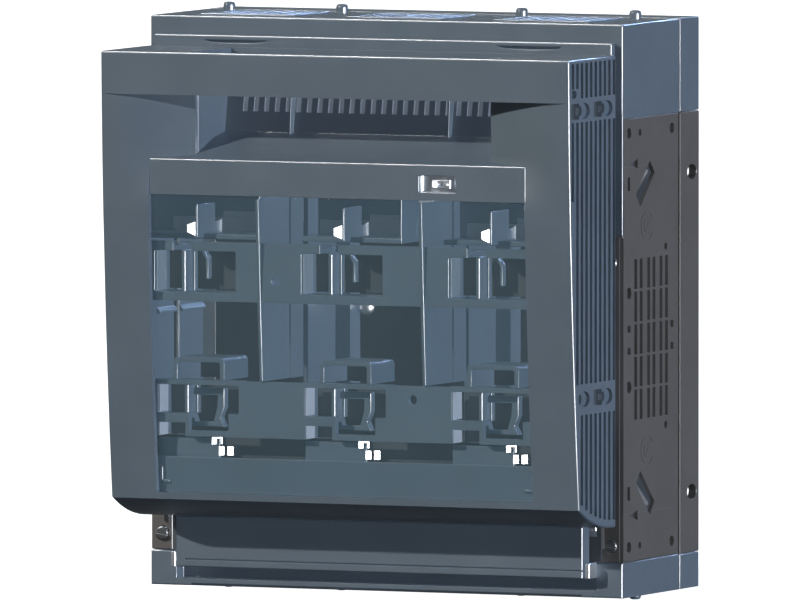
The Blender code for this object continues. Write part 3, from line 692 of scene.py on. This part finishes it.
def carrier_upper():
    """Plate behind the window's upper end with a bent finger grip in each opening."""
    spans = ((-117.0, -50.9), (-26.0, 26.0), (50.7, 117.0))
    sheet = 0.8
    rail = box((-CARRIER_HALF, CARRIER_HALF), (-138.5, -136.0), (66.5, 70.5))
    for number, (pole, (low, high)) in enumerate(zip(POLES, spans), 1):
        tub = box((low - 1.0, high + 1.0), (-138.5, -117.0), (33.6, 70.0))
        hollow = box((low - 2.0, high), (-140.0, -118.6), (36.2, 72.0))
        piece(f"grip_pocket_{number}", CARRIER, tub, COVER, cuts=[[hollow]], edge=0.3)
        # The pocket panel's lighter colour is painted light on the lower back of each pocket.
        panel = box((pole - 25.2, high + 1.0), (-120.4, -118.4), (36.0, 43.4))
        step = box((pole + 1.5, high + 1.0), (-119.4, -118.3), (43.0, 46.6))
        piece(f"pocket_panel_{number}", PAINTED_LIGHTER, panel, COVER, joins=[[step]], edge=0.15)
        blade = rounded(box((pole - 1.8, pole - 0.5), (-146.6, -124.6), (34.6, 51.2)), 0.5, 3)
        wings = []
        for near, far, lows, highs in (
                ((pole - 1.1, -142.8), (pole - 5.6, -147.3), (34.6, 37.4), (43.0, 41.0)),
                ((pole - 0.8, -126.4), (pole + 1.6, -121.2), (35.2, 35.2), (41.0, 43.0))):
            wings.append([hull([[(x, y, bottom), (x, y, top), (x - sheet, y + sheet, top),
                                 (x - sheet, y + sheet, bottom)]
                                for (x, y), bottom, top in zip((near, far), lows, highs)])])
        piece(f"finger_grip_{number}", CARRIER, blade, COVER, joins=wings, edge=0.2,
              steps=3)
    piece("upper_plate", CARRIER, rail, COVER, ["carrier_upper"], edge=0.3)
    for label, x in (("left", -CARRIER_HALF), ("right", CARRIER_HALF - 5.0)):
        piece(f"outer_plate_{label}", CARRIER, box((x, x + 5.0), (-138.5, -136.0), (33.6, 66.5)),
              COVER, edge=0.3)


def cross_member(name, stands_for, front, depth, low, high, window_low, window_high, pin_hole):
    """Bar across the cover, with a hooded, notched opening for each pole."""
    bar = box((-CARRIER_HALF, CARRIER_HALF), (front, front + 3), (low, high))
    hoods = [box((pole - 24.4, pole + 24.4), (front + 1, front + depth),
                 (window_low - 2.4, window_high + 2.4)) for pole in POLES]
    openings = [prism_y(rounded_outline((pole - 22, pole + 22), (window_low, window_high), 0.6),
                        front - 1, front + depth + 1) for pole in POLES]
    notches = [box((pole - 12.0, pole - 2.0), (front - 1, front + depth + 1),
                   (window_high - 1, window_high + 4.2)) for pole in POLES]
    hole = prism_y(ring(pin_hole, 2.4, 24), front - 1, front + 4)
    feet = []
    if low < -60:
        notches = [box((pole - 4.8, pole + 16.4), (front - 1, front + depth + 1), (-61.2, -44.0))
                   for pole in POLES]
        feet = [box((pole - 21.6, pole - 7.0), (front - 1, front + depth + 1), (low - 1, -57.4))
                for pole in POLES]
    cuts = [[*openings, hole], notches] + ([feet] if feet else [])
    piece(name, CARRIER, bar, COVER, [stands_for], joins=[hoods], cuts=cuts, edge=0.18)


def claws():
    """Uprights, spring clip, screens, cheeks and feet in the openings of the cross members."""
    for number, pole in enumerate(POLES, 1):
        for level, front, low, high in (("upper", -149.0, 7.4, 28.8),
                                        ("lower", -145.4, -53.2, -38.0)):
            thick = rounded(box((pole - 8.1, pole - 5.9), (front, front + 11.5), (low, high)),
                            1.0, 5)
            thin = rounded(box((pole - 5.6, pole - 4.8), (front + 9.0, front + 13.0),
                               (low, high)), 0.35, 3)
            piece(f"claw_{level}_{number}", CARRIER, thick, COVER, joins=[[thin]], edge=0)
        bend = [(-2.6, 29.6), (-1.7, 30.3), (2.9, 24.6), (2.9, 14.0), (1.7, 14.0), (1.7, 24.0)]
        clip = prism_y([(pole + x, z) for x, z in bend], -141.0, -136.5)
        piece(f"spring_clip_{number}", CARRIER, clip, COVER, edge=0.3, steps=3)
        # The screens' near-black colour is painted shade; the cheeks' pale and lighter colours are
        # painted light.
        for name, finish, (low, high), y, z in (
                ("hood_screen", PAINTED_SHADE, (-21.0, 21.0), (-134.4, -133.6), (8.6, 27.6)),
                ("hood_cheek", PAINTED_LIGHTER, (-21.8, -21.0), (-149.5, -138.0), (8.3, 27.9)),
                ("fuse_screen", PAINTED_SHADE, (-21.0, 22.6), (-132.4, -131.6), (-64.0, -36.5)),
                ("fuse_cheek_upper", PAINTED_LIT, (-21.8, -21.0), (-146.0, -136.0), (-52.4, -38.9)),
                ("fuse_cheek_lower", PAINTED_LIT, (-21.8, -21.0), (-146.0, -136.0), (-64.0, -57.6))):
            plate = box((pole + low, pole + high), y, z)
            piece(f"{name}_{number}", finish, plate, COVER, edge=0.1)
        block = box((pole - 24.0, pole + 9.0), (-140.8, -138.8), (-76.0, -65.4))
        piece(f"fuse_block_{number}", CARRIER, block, COVER, edge=0.15)
        for index, (x, wide, low, high) in enumerate(((5.6, 4.0, -68.2, -64.6),
                                                      (9.4, 2.1, -73.6, -69.2),
                                                      (14.0, 2.3, -73.6, -69.0)), 1):
            foot = prism_z([(pole + x, -142.6), (pole + x + wide, -142.6 + wide),
                            (pole + x, -142.6 + wide)], low, high)
            piece(f"fuse_foot_{number}_{index}", CARRIER, foot, COVER, edge=0.1)
    # The lower screen is a dark sheet of painted shade behind the fuse feet.
    piece("lower_screen", PAINTED_SHADE, box((-118.0, 118.0), (-131.4, -130.6), (-77.0, -64.4)),
          COVER, edge=0.1)


def fuse_grip(number, pole):
    """Deep rounded hood over the lower fuse lug, with the waisted loop that holds it."""
    outer = rounded_outline((-13.9, 13.9), (-45.0, -24.9), 2.6, 5)
    outer = [(x, max(z, -36.0)) for x, z in outer]
    inner = rounded_outline((-11.6, 11.6), (-45.0, -27.2), 1.2, 4)
    hood = rounded(prism_y(outer, -146.2, -117.0), 0.5, 3)
    way = prism_y([(x, max(z, -37.5)) for x, z in inner], -148.0, -116.0)
    loop = [(-10.7, -40.4), (-10.7, -50.0), (-8.6, -55.0), (-10.9, -59.8), (10.9, -59.8),
            (8.6, -55.0), (10.7, -50.0), (10.7, -40.4)]
    eye = [(-7.2, -43.8), (-7.0, -50.0), (-4.9, -57.2), (4.9, -57.2), (7.0, -50.0), (7.2, -43.8)]
    body = rounded(prism_y(loop, -139.0, -133.6), 0.7, 3)
    piece(f"fuse_hood_{number}", CARRIER, moved(hood, pole), COVER, [f"fuse_grip_{number}"],
          cuts=[[moved(way, pole)]], edge=0.3)
    piece(f"fuse_loop_{number}", CARRIER, moved(body, pole), COVER,
          cuts=[[moved(prism_y(eye, -142.0, -130.0), pole)]], edge=0.5, steps=3)
    # The hood back is painted shade: a dark plate that makes the hood's inside read as a shaded
    # hollow.
    back = box((pole - 11.4, pole + 11.4), (-118.2, -117.4), (-36.4, -27.4))
    piece(f"hood_back_{number}", PAINTED_SHADE, back, COVER, edge=0.1)


def carrier_ribs():
    """Upright ribs between the poles that follow the bowed front."""
    for side, x in (("left", -44.7), ("right", 43.6)):
        heights = [-36.0 + 91.0 * step / 14 for step in range(15)]
        outline = [(front_y(z) + 4.4, z) for z in heights]
        outline += [(-115.4, heights[-1]), (-115.4, heights[0])]
        rib = rounded(prism_x(outline, x - 0.9, x + 0.9), 0.5, 3)
        piece(f"upright_rib_{side}", CARRIER, rib, COVER, [f"carrier_rib_{side}"], edge=0)
        rear = box((x - 0.8, x + 0.8), (-113.9, -98.4), (-36.0, 66.0))
        piece(f"rear_rib_{side}", CARRIER, rear, COVER, edge=0)


def bay_walls():
    """Blue-grey walls between the fuse bays, standing in the housing, and those at its sides."""
    for side, far, near in (("left", (-45.0, -42.6), (-37.0, -34.6)),
                            ("right", (42.2, 44.6), (50.2, 52.6))):
        wall = box(far, (-95.6, -49.4), BAY_HEIGHTS)
        step = box((min(far[0], near[0]), max(far[1], near[1])), (-62.0, -49.4), BAY_HEIGHTS)
        piece(f"bay_wall_{side}", CARRIER, wall, "base", [f"phase_barrier_{side}"],
              joins=[[step]], edge=0)
    for turn, label in ((as_is, "left"), (mirrored_x, "right")):
        piece(f"bay_liner_{label}", CARRIER,
              turn(box((-BAY_HALF + 0.1, -BAY_HALF + 0.9), (-95.6, -66.0), BAY_HEIGHTS)),
              "base", edge=0.15)
        piece(f"cover_cheek_{label}", CARRIER,
              turn(box((-115.6, -114.2), (-136.0, -98.6), (-66.0, 33.0))), COVER,
              edge=0.3)


def hinge_apron():
    """Lower skirt of the cover, with a lip bar across its foot."""
    tray = rounded(box((-APRON_HALF, APRON_HALF), (APRON_FRONT, APRON_BACK),
                       (APRON_BOTTOM, APRON_TOP)), 0.9, 3,
                   lambda middle: middle.y < APRON_FRONT + 0.1)
    inner = APRON_HALF - 2.4
    hollow = box((-inner, inner), (APRON_FRONT + 2.4, APRON_BACK + 1),
                 (APRON_BOTTOM + 1.6, APRON_TOP - 2.4))
    pin_holes = both_sides([prism_x(ring(HINGE[1:], 2.3, 16), inner - 1, APRON_HALF + 1)])
    groove = box((-105.8, APRON_HALF + 1), (APRON_FRONT - 1, APRON_FRONT + 0.9),
                 (-129.0, -128.0))
    piece("skirt", SHELL, tray, COVER, ["hinge_apron"],
          cuts=[[hollow], pin_holes, [groove]], edge=0.3)


def lock():
    """Zinc-plated tray with the locking slide in it."""
    tray = rounded(box((42.8, 65.5), (HEADER_FRONT + 3.3, -149.6), (59.0, 70.2)), 0.4, 2)
    pocket = prism_y(rounded_outline(*LOCK_WAY, 0.6), HEADER_FRONT, -151.4)
    piece("lock_tray", STEEL, tray, COVER, ["lock_bezel"], cuts=[[pocket]], edge=0.25)
    x, y, z = LOCK
    slide = rounded(box((-5.0, 5.0), (-1.2, 1.2), (-2.3, 2.3)), 0.5, 3)
    eye = prism_y(ring((0.0, 0.0), 1.2, 20), -2.0, 2.0)
    knob = prism_y(ring((3.0, 0.0), 0.9, 16), -1.9, 0.0)
    ridge = [box((at - 0.2, at + 0.2), (-2.0, -0.9), (-1.6, 1.6)) for at in (-4.0, -3.1, -2.2)]
    piece("lock_latch", STEEL, moved(slide, x, y, z), "lock", ["lock_slide"],
          joins=[[moved(rounded(knob, 0.3, 2), x, y, z)]],
          cuts=[[moved(eye, x, y, z), *(moved(shape, x, y, z) for shape in ridge)]], edge=0.15)


def dome_screws():
    """Small dome-headed screws that hold the contact parts to the housing's floor."""
    for number, (x, z) in enumerate(((-31.5, 13.5), (-31.5, -4.0), (46.4, -25.3)), 1):
        rings = []
        for step in range(6):
            angle = math.radians(90 * step / 5.5)
            radius, rise = 4.2 * math.cos(angle), 3.0 * math.sin(angle)
            rings.append([(x + px, -49.0 - rise, z + pz) for px, pz in ring((0, 0), radius, 20)])
        piece(f"dome_screw_{number}", STEEL, hull(rings), "base", edge=0)


# ---------------------------------------------------------------- fixed base


def side_openings():
    """Cutters for the holes, slots and vents in the right side cover."""
    through = (HALF_WIDTH - 3, HALF_WIDTH + 1)
    engraved = (HALF_WIDTH - 0.2, HALF_WIDTH + 1)
    shapes, marks = [], []
    for y, z, radius in ((-88.3, 88.1, 2.7), (-74.5, 87.9, 1.8), (-34.4, 88.2, 2.7),
                         (-42.1, 29.8, 1.9), (-88.3, 8.7, 3.0)):
        for height in (z, MIRROR_Z - z):
            shapes.append(prism_x(ring((y, height), radius, 24), *through))
    y, z = TEST_OPENING
    for height, way in ((z, 1), (MIRROR_Z - z, -1)):
        shapes.append(prism_x(slot_outline((y, height), 24.0, 8.5, TEST_OPENING_ANGLE * way),
                              *through))
        shapes.append(prism_x(slot_outline((-88.6, height + 0.7), 3.3, 6.8, 0), *through))
        shapes.append(prism_x([(-86.6, height + 10.4 * way), (-77.4, height + 13 * way),
                               (-77.4, height + 8 * way)], *through))
        middle = (-66.0, height - 21.0 * way)
        marks += [prism_x(outline, *engraved) for outline in (
            band(middle, 7.6, 0.5, 30, 300), band(middle, 4.0, 0.5, 60, 240),
            slot_outline(middle, 4.6, 0.5, 35))]
    for y in (-88.3, -34.3):
        for height in (-9.1, -20.1):
            shapes.append(prism_x(slot_outline((y, height), 3.7, 3.5, 0), *through))
    rows, tie, low, high = 5, 1.2, -54.4, 25.3
    pitch = (high - low + tie) / rows
    for y in (-79.9, -73.1, -63.6, -56.9, -48.1, -41.2):
        for row in range(rows):
            start = low + row * pitch
            shapes.append(box(through, (y - 1.8, y + 1.8), (start, start + pitch - tie)))
    return shapes, marks


def side_covers():
    """Vented side shells with screw holes, and the slanted contacts behind their openings."""
    inside = HOUSING_HALF + 0.3
    shell = rounded(box((inside, HALF_WIDTH), (BASE_FRONT, SPLIT_FRONT - 1.2),
                        (BASE_BOTTOM, BASE_TOP)), 0.5, 3,
                    lambda middle: middle.x > HALF_WIDTH - 0.1 or middle.y < BASE_FRONT + 0.1)
    hollow = box((inside - 1, HALF_WIDTH - 2), (BASE_FRONT + 2.5, SPLIT_FRONT + 1),
                 (BASE_BOTTOM + 2, BASE_TOP - 2))
    leg_rebate = box((inside - 1, HALF_WIDTH + 1), (BASE_FRONT - 1, BASE_FRONT + 1.1),
                     (37.2, BASE_TOP + 1))
    corner = box((HALF_WIDTH - 2, HALF_WIDTH + 1), (BASE_FRONT - 1, BASE_FRONT + 0.6),
                 (BASE_BOTTOM - 1, 36.6))
    slot = box((116.9, 118.6), (BASE_FRONT - 1, BASE_FRONT + 2.2), (-118.0, 30.0))
    screw_ways, screw_holes = (
        [prism_y(ring((SIDE_SCREW_X, height), radius, sides), BASE_FRONT - 1, BASE_FRONT + deep)
         for level, height in SIDE_SCREWS]
        for radius, sides, deep in ((3.9, 24, 0.9), (2.1, 16, 4)))
    lines = [box((HALF_WIDTH - 0.35, HALF_WIDTH + 1), (BASE_FRONT + 1, SPLIT_FRONT + 1),
                 (z - 0.2, z + 0.2)) for z in (MIRROR_Z / 2 + 86.0, MIRROR_Z / 2 - 86.0)]
    openings, marks = side_openings()
    cuts = [[hollow], [leg_rebate], [corner], [slot], screw_ways, screw_holes, openings, marks,
            lines]
    for label, turn in SIDES:
        piece(f"side_shell_{label}", BASE, turn(shell), "base", [f"side_cover_{label}"],
              cuts=[[turn(shape) for shape in group] for group in cuts], edge=0.22)
        y, z = TEST_OPENING
        for number, (height, way) in enumerate(((z, 1), (MIRROR_Z - z, -1)), 1):
            direction = math.radians(TEST_OPENING_ANGLE * way)
            along = Vector((math.cos(direction), math.sin(direction)))
            rings = []
            for reach, x in ((-9.0, HALF_WIDTH - 5.5), (9.0, HALF_WIDTH - 3.0)):
                end = Vector((y, height)) + along * reach
                rings.append([(x + out, end.x - up * along.y, end.y + up * along.x)
                              for out, up in ring((0.0, 0.0), 2.0, 16)])
            piece(f"test_contact_{label}_{number}", CONTACT,
                  turn(rounded(hull(rings), 0.6, 2)), "base", edge=0)


def side_screws():
    """Slotted screws at the front edge of the side covers."""
    for side, x in (("left", -SIDE_SCREW_X), ("right", SIDE_SCREW_X)):
        for level, z in SIDE_SCREWS:
            rings = []
            for radius, y in ((3.0, 0.0), (3.45, -0.3), (3.45, -1.2), (3.2, -1.6), (2.6, -1.9)):
                rings.append([(x + px, BASE_FRONT - 0.3 + y, z + pz)
                              for px, pz in ring((0, 0), radius, 32)])
            turned = slot_outline((x, z), 8.0, 1.0, 25 if level == "upper" else -8)
            slot = prism_y(turned, BASE_FRONT - 3.0, BASE_FRONT - 1.3)
            shank = prism_y(ring((x, z), 1.7, 12), BASE_FRONT - 0.8, BASE_FRONT + 8.0)
            piece(f"slotted_screw_{side}_{level}", SCREW, hull(rings), "base",
                  [f"side_cover_screw_{side}_{level}"], joins=[[shank]], cuts=[[slot]], edge=0.15)


def peg(x, level, way):
    """Round peg with a domed head, on the top (way 1) or bottom (way -1) cover."""
    profile = ((3.0, -1.0), (3.0, 2.6), (2.9, 3.4), (2.4, 4.1), (1.4, 4.4))
    return hull([[(px, py, level + way * rise) for px, py in ring((x, PEG_Y), radius, 24)]
                 for radius, rise in profile])


def top_cover():
    """Top terminal cover with legs, seams and pegs, its raised lid and the break-out grilles."""
    outer = rounded(box((-HALF_WIDTH, HALF_WIDTH), (FRONT, SPLIT_FRONT - 0.5),
                        (BASE_TOP + 0.3, TOP)), 1.0, 4,
                    lambda middle: middle.y < FRONT + 0.1 or middle.z > TOP - 0.1)
    leg = rounded(box((HOUSING_HALF + 1, HALF_WIDTH), (FRONT, FRONT + 1.6), (37.5, 98.0)), 0.5, 3)
    inner = HALF_WIDTH - 3
    hollow = box((-inner, inner), (FRONT + 3, SPLIT_FRONT + 1), (BASE_TOP - 1, TOP - 3))
    entries = [box((pole - 26, pole + 26), (-87.0, -43.0), (TOP - 5, TOP + 1)) for pole in POLES]
    grooves = both_sides([
        box((x - 0.5, x + 0.5), (FRONT + 3, SPLIT_FRONT - 3), (TOP - 0.6, TOP + 1))
        for x in (33.6, 46.0, 110.0, 116.0)])
    seams = [box((-124.0, 124.0), (y - 0.4, y + 0.4), (TOP - 0.5, TOP + 1))
             for y in (-91.0, -39.5)]
    piece("top_shroud", SHELL, outer, "base", ["top_terminal_cover"], joins=[both_sides([leg])],
          cuts=[[hollow], entries, grooves, seams], edge=0.35)
    for index, x in enumerate((-110.2, -48.6, 49.2, 110.6), 1):
        piece(f"top_peg_{index}", SHELL, peg(x, TOP, 1), "base", edge=0)
    panel = rounded(box((-124.0, 124.0), (FRONT - 4.6, FRONT - 0.3), (98.0, 133.0)), 0.9, 3,
                    lambda middle: middle.y < FRONT - 4.5)
    turns = [math.pi * step / 20 for step in range(21)]
    bow = [(79.5 + 18.0 * math.cos(turn), 130.9 - 1.9 * math.sin(turn)) for turn in turns]
    notches = both_sides([prism_y(bow, FRONT - 5.6, FRONT - 2.2)])
    piece("front_lid", SHELL, panel, "base", ["top_cover_lid"], cuts=[notches], edge=0.4, steps=3)
    half, slats = 25.6, 8
    pitch = 2 * (half - 1.5) / slats
    for number, pole in enumerate(POLES, 1):
        plate = box((pole - half, pole + half), (-86.6, -43.4), (TOP - 3.2, TOP + 0.7))
        gaps = [box((pole - half + 1.5 + pitch * (index + 0.3),
                     pole - half + 1.5 + pitch * (index + 0.7)),
                    (-83.0, -47.0), (TOP - 5, TOP + 1)) for index in range(slats)]
        piece(f"break_out_grille_{number}", SHELL, plate, "base", [f"cable_grille_top_{number}"],
              cuts=[gaps], edge=0.3)


def bottom_cover():
    """Bottom terminal cover with its front recess, cable slots, chamfered lip and pegs."""
    outer = rounded(box((-HALF_WIDTH, HALF_WIDTH), (FRONT, SPLIT_FRONT - 0.5),
                        (BOTTOM, BASE_BOTTOM - 0.3)), 1.0, 4,
                    lambda middle: middle.y < FRONT + 0.1)
    recess = box((-BAY_HALF, BAY_HALF), (FRONT - 1, -88.0), (-138.6, BASE_BOTTOM + 1))
    inner = HALF_WIDTH - 3
    hollow = box((-inner, inner), (-85.0, SPLIT_FRONT + 1), (BOTTOM + 3, BASE_BOTTOM + 1))
    slots = [box((pole + offset - 1.5, pole + offset + 1.5), (-80.0, -46.0),
                 (BOTTOM - 1, BOTTOM + 5)) for pole in POLES for offset in range(-21, 22, 6)]
    lip = prism_x([(FRONT - 1, BOTTOM - 1), (FRONT - 1, BOTTOM + 2.4), (FRONT + 2.4, BOTTOM - 1)],
                  -106.0, 106.0)
    piece("bottom_shroud", SHELL, outer, "base", ["bottom_terminal_cover"],
          cuts=[[recess], [hollow], slots, [lip]], edge=0.4, steps=3)
    for index, x in enumerate((-110.6, -48.9, 48.9, 110.6), 1):
        piece(f"bottom_peg_{index}", SHELL, peg(x, BOTTOM, -1), "base", edge=0)


def bay_ledge():
    """Small bevelled ledges on the left walls of the left fuse bay and of the cover."""
    outline = [(-BAY_HALF + 0.8, -5.4), (-BAY_HALF + 0.8, -2.2), (-BAY_HALF + 1.1, -2.2),
               (-BAY_HALF + 3.0, -4.4), (-BAY_HALF + 3.0, -5.4)]
    piece("bay_ledge", CARRIER, prism_y(outline, -95.4, -67.0), "base", edge=0.3, steps=3)
    outline = [(x - 1.4, z) for x, z in outline]
    piece("cheek_ledge", CARRIER, prism_y(outline, -120.0, -98.6), COVER, edge=0.4, steps=3)


def carried_over():
    """Better materials and rounded edges for the CAD nodes that stay."""
    for row in frame["record"]["subparts"]:
        node = frame["nodes"][row["node"]]
        if node.hide_render:
            continue
        for slot in node.material_slots:
            # The base housing, seen only through the window, gets the painted-shade plastic instead
            # of the base plastic.
            inner = row["node"] == "base_housing"
            slot.material = PAINTED_SHADE if inner else FINISHES[row["material_slot"]]
        weld = node.modifiers.new("weld", "WELD")
        weld.merge_threshold = 1e-6
        flat = node.modifiers.new("flat", "DECIMATE")
        flat.decimate_type = "DISSOLVE"
        flat.angle_limit = math.radians(1.0)
        add_bevel(node, "rounding", 0.4, 2, 35)
        level = node.modifiers.new("level", "WEIGHTED_NORMAL")
        level.weight = 100


cover_frame()
grip_pan()
vent_grille()
window()
window_sill()
carrier_upper()
cross_member("middle_member", "carrier_crossbar", -150.5, 17.0, 3.4, 33.0, 7.9, 28.3,
             (-35.9, 14.2))
cross_member("lower_member", "carrier_lower", -146.6, 6.0, -64.2, -36.2, -52.7, -38.5,
             (36.5, -43.0))
claws()
for pole_number, pole_x in enumerate(POLES, 1):
    fuse_grip(pole_number, pole_x)
carrier_ribs()
bay_walls()
hinge_apron()
lock()
dome_screws()
side_covers()
side_screws()
top_cover()
bottom_cover()
bay_ledge()
carried_over()

# ---------------------------------------------------------------- stage, light, camera


def stage():
    """Pale paper floor that sheds no light of its own on the object."""
    mesh = bpy.data.meshes.new("floor")
    reach, height = 40.0, CAD_BOX[0][2] - 0.0005
    mesh.from_pydata([(-reach, -reach, height), (reach, -reach, height),
                      (reach, reach, height), (-reach, reach, height)], [], [(0, 1, 2, 3)])
    floor = bpy.data.objects.new("floor", mesh)
    IN_SCENE.link(floor)
    made, nodes, shader, where = new_material("floor_paper")
    paper = nodes.noise(where, 9.0, 4.0)
    nodes.link(nodes.mix(nodes.span(paper, 0.3, 0.7), (0.5, 0.5, 0.5), (0.52, 0.52, 0.52)),
               shader.inputs["Base Color"])
    shader.inputs["Roughness"].default_value = 0.9
    shader.inputs["Specular IOR Level"].default_value = 0.0
    shader.inputs["Emission Color"].default_value = (1.0, 1.0, 1.0, 1.0)
    shader.inputs["Emission Strength"].default_value = 0.95
    mesh.materials.append(made)
    floor.visible_diffuse = False
    floor.visible_glossy = False


def sun(name, toward, strength, colour, spread, shadow=False, diffuse=True, glossy=True):
    """A sun that stands in the direction toward, seen from the object."""
    light = bpy.data.lights.new(name, "SUN")
    light.energy = strength
    light.color = colour
    light.angle = math.radians(spread)
    light.use_shadow = shadow
    made = bpy.data.objects.new(name, light)
    made.visible_diffuse = diffuse
    made.visible_glossy = glossy
    made.rotation_euler = Vector(toward).to_track_quat("Z", "Y").to_euler()
    IN_SCENE.link(made)
    return made


stage()
WHITE = (1.0, 1.0, 1.0)
FROM_ABOVE = (-0.4, -0.04, 0.89)
sun("key", (-0.589, -0.681, 0.434), 3.0, (1.0, 0.98, 0.96), 1.2, shadow=True)
sun("fill_right", (0.96, -0.2, 0.14), 3.3, (0.69, 0.78, 1.0), 20.0)
sun("back_fill", (-0.3, 0.92, 0.25), 1.5, (0.95, 0.97, 1.0), 20.0, glossy=False)
# The rims draw only the bright lines along rounded edges.
sun("rim_right", (0.888, -0.374, -0.06), 14.0, WHITE, 6.0, diffuse=False)
sun("rim_top", FROM_ABOVE, 6.0, WHITE, 6.0, shadow=True, diffuse=False)
sun("rim_edge", (0.059, 0.914, 0.401), 1.5, (0.42, 0.6, 1.0), 6.0, diffuse=False)
header_rim = sun("header_rim", FROM_ABOVE, 6.0, WHITE, 6.0, diffuse=False)
inserts = bpy.data.collections.new("inserts")
inserts.objects.link(bpy.data.objects["grip_header"])
header_rim.light_linking.receiver_collection = inserts

world = bpy.data.worlds.new("studio")
world.use_nodes = True
sky = Nodes(world.node_tree)
way = sky.add("SeparateXYZ")
sky.link(sky.add("TexCoord").outputs["Generated"], way.inputs["Vector"])
ramp = sky.add("ValToRGB")
ramp.color_ramp.elements[0].position = 0.3
ramp.color_ramp.elements[0].color = (0.06, 0.065, 0.075, 1.0)
ramp.color_ramp.elements[1].position = 0.85
ramp.color_ramp.elements[1].color = (0.05, 0.06, 0.08, 1.0)
horizon = ramp.color_ramp.elements.new(0.5)
horizon.color = (0.17, 0.19, 0.2, 1.0)
sky.link(sky.span(way.outputs["Z"], -1.0, 1.0), ramp.inputs["Fac"])
sky.link(ramp.outputs["Color"], world.node_tree.nodes["Background"].inputs["Color"])
bpy.context.scene.world = world
bpy.context.scene.view_settings.view_transform = "Standard"
bpy.context.scene.view_settings.look = "None"

# The photo has almost no perspective, so the lens is long and the camera stands far away.
RIGHT = Vector((0.91567, 0.40195, 0.0))
UP = Vector((-0.02384, 0.0543, 0.99824))
BACK = RIGHT.cross(UP)
LENS = 1200.0
SENSOR = 36.0
PICTURE_WIDTH = 397.77
BEHIND_FRONT = 75.0
camera_data = bpy.data.cameras.new("camera")
camera_data.lens = LENS
camera_data.sensor_width = SENSOR
camera_data.clip_start = 0.5
camera_data.clip_end = 100.0
camera = bpy.data.objects.new("camera", camera_data)
aim = (RIGHT * -31.67 + UP * -2.39) * MM
place = aim + BACK * ((BEHIND_FRONT + PICTURE_WIDTH / SENSOR * LENS) * MM)
turn = Matrix((RIGHT, UP, BACK)).transposed().to_4x4()
camera.matrix_world = Matrix.Translation(place) @ turn
IN_SCENE.link(camera)
bpy.context.scene.camera = camera
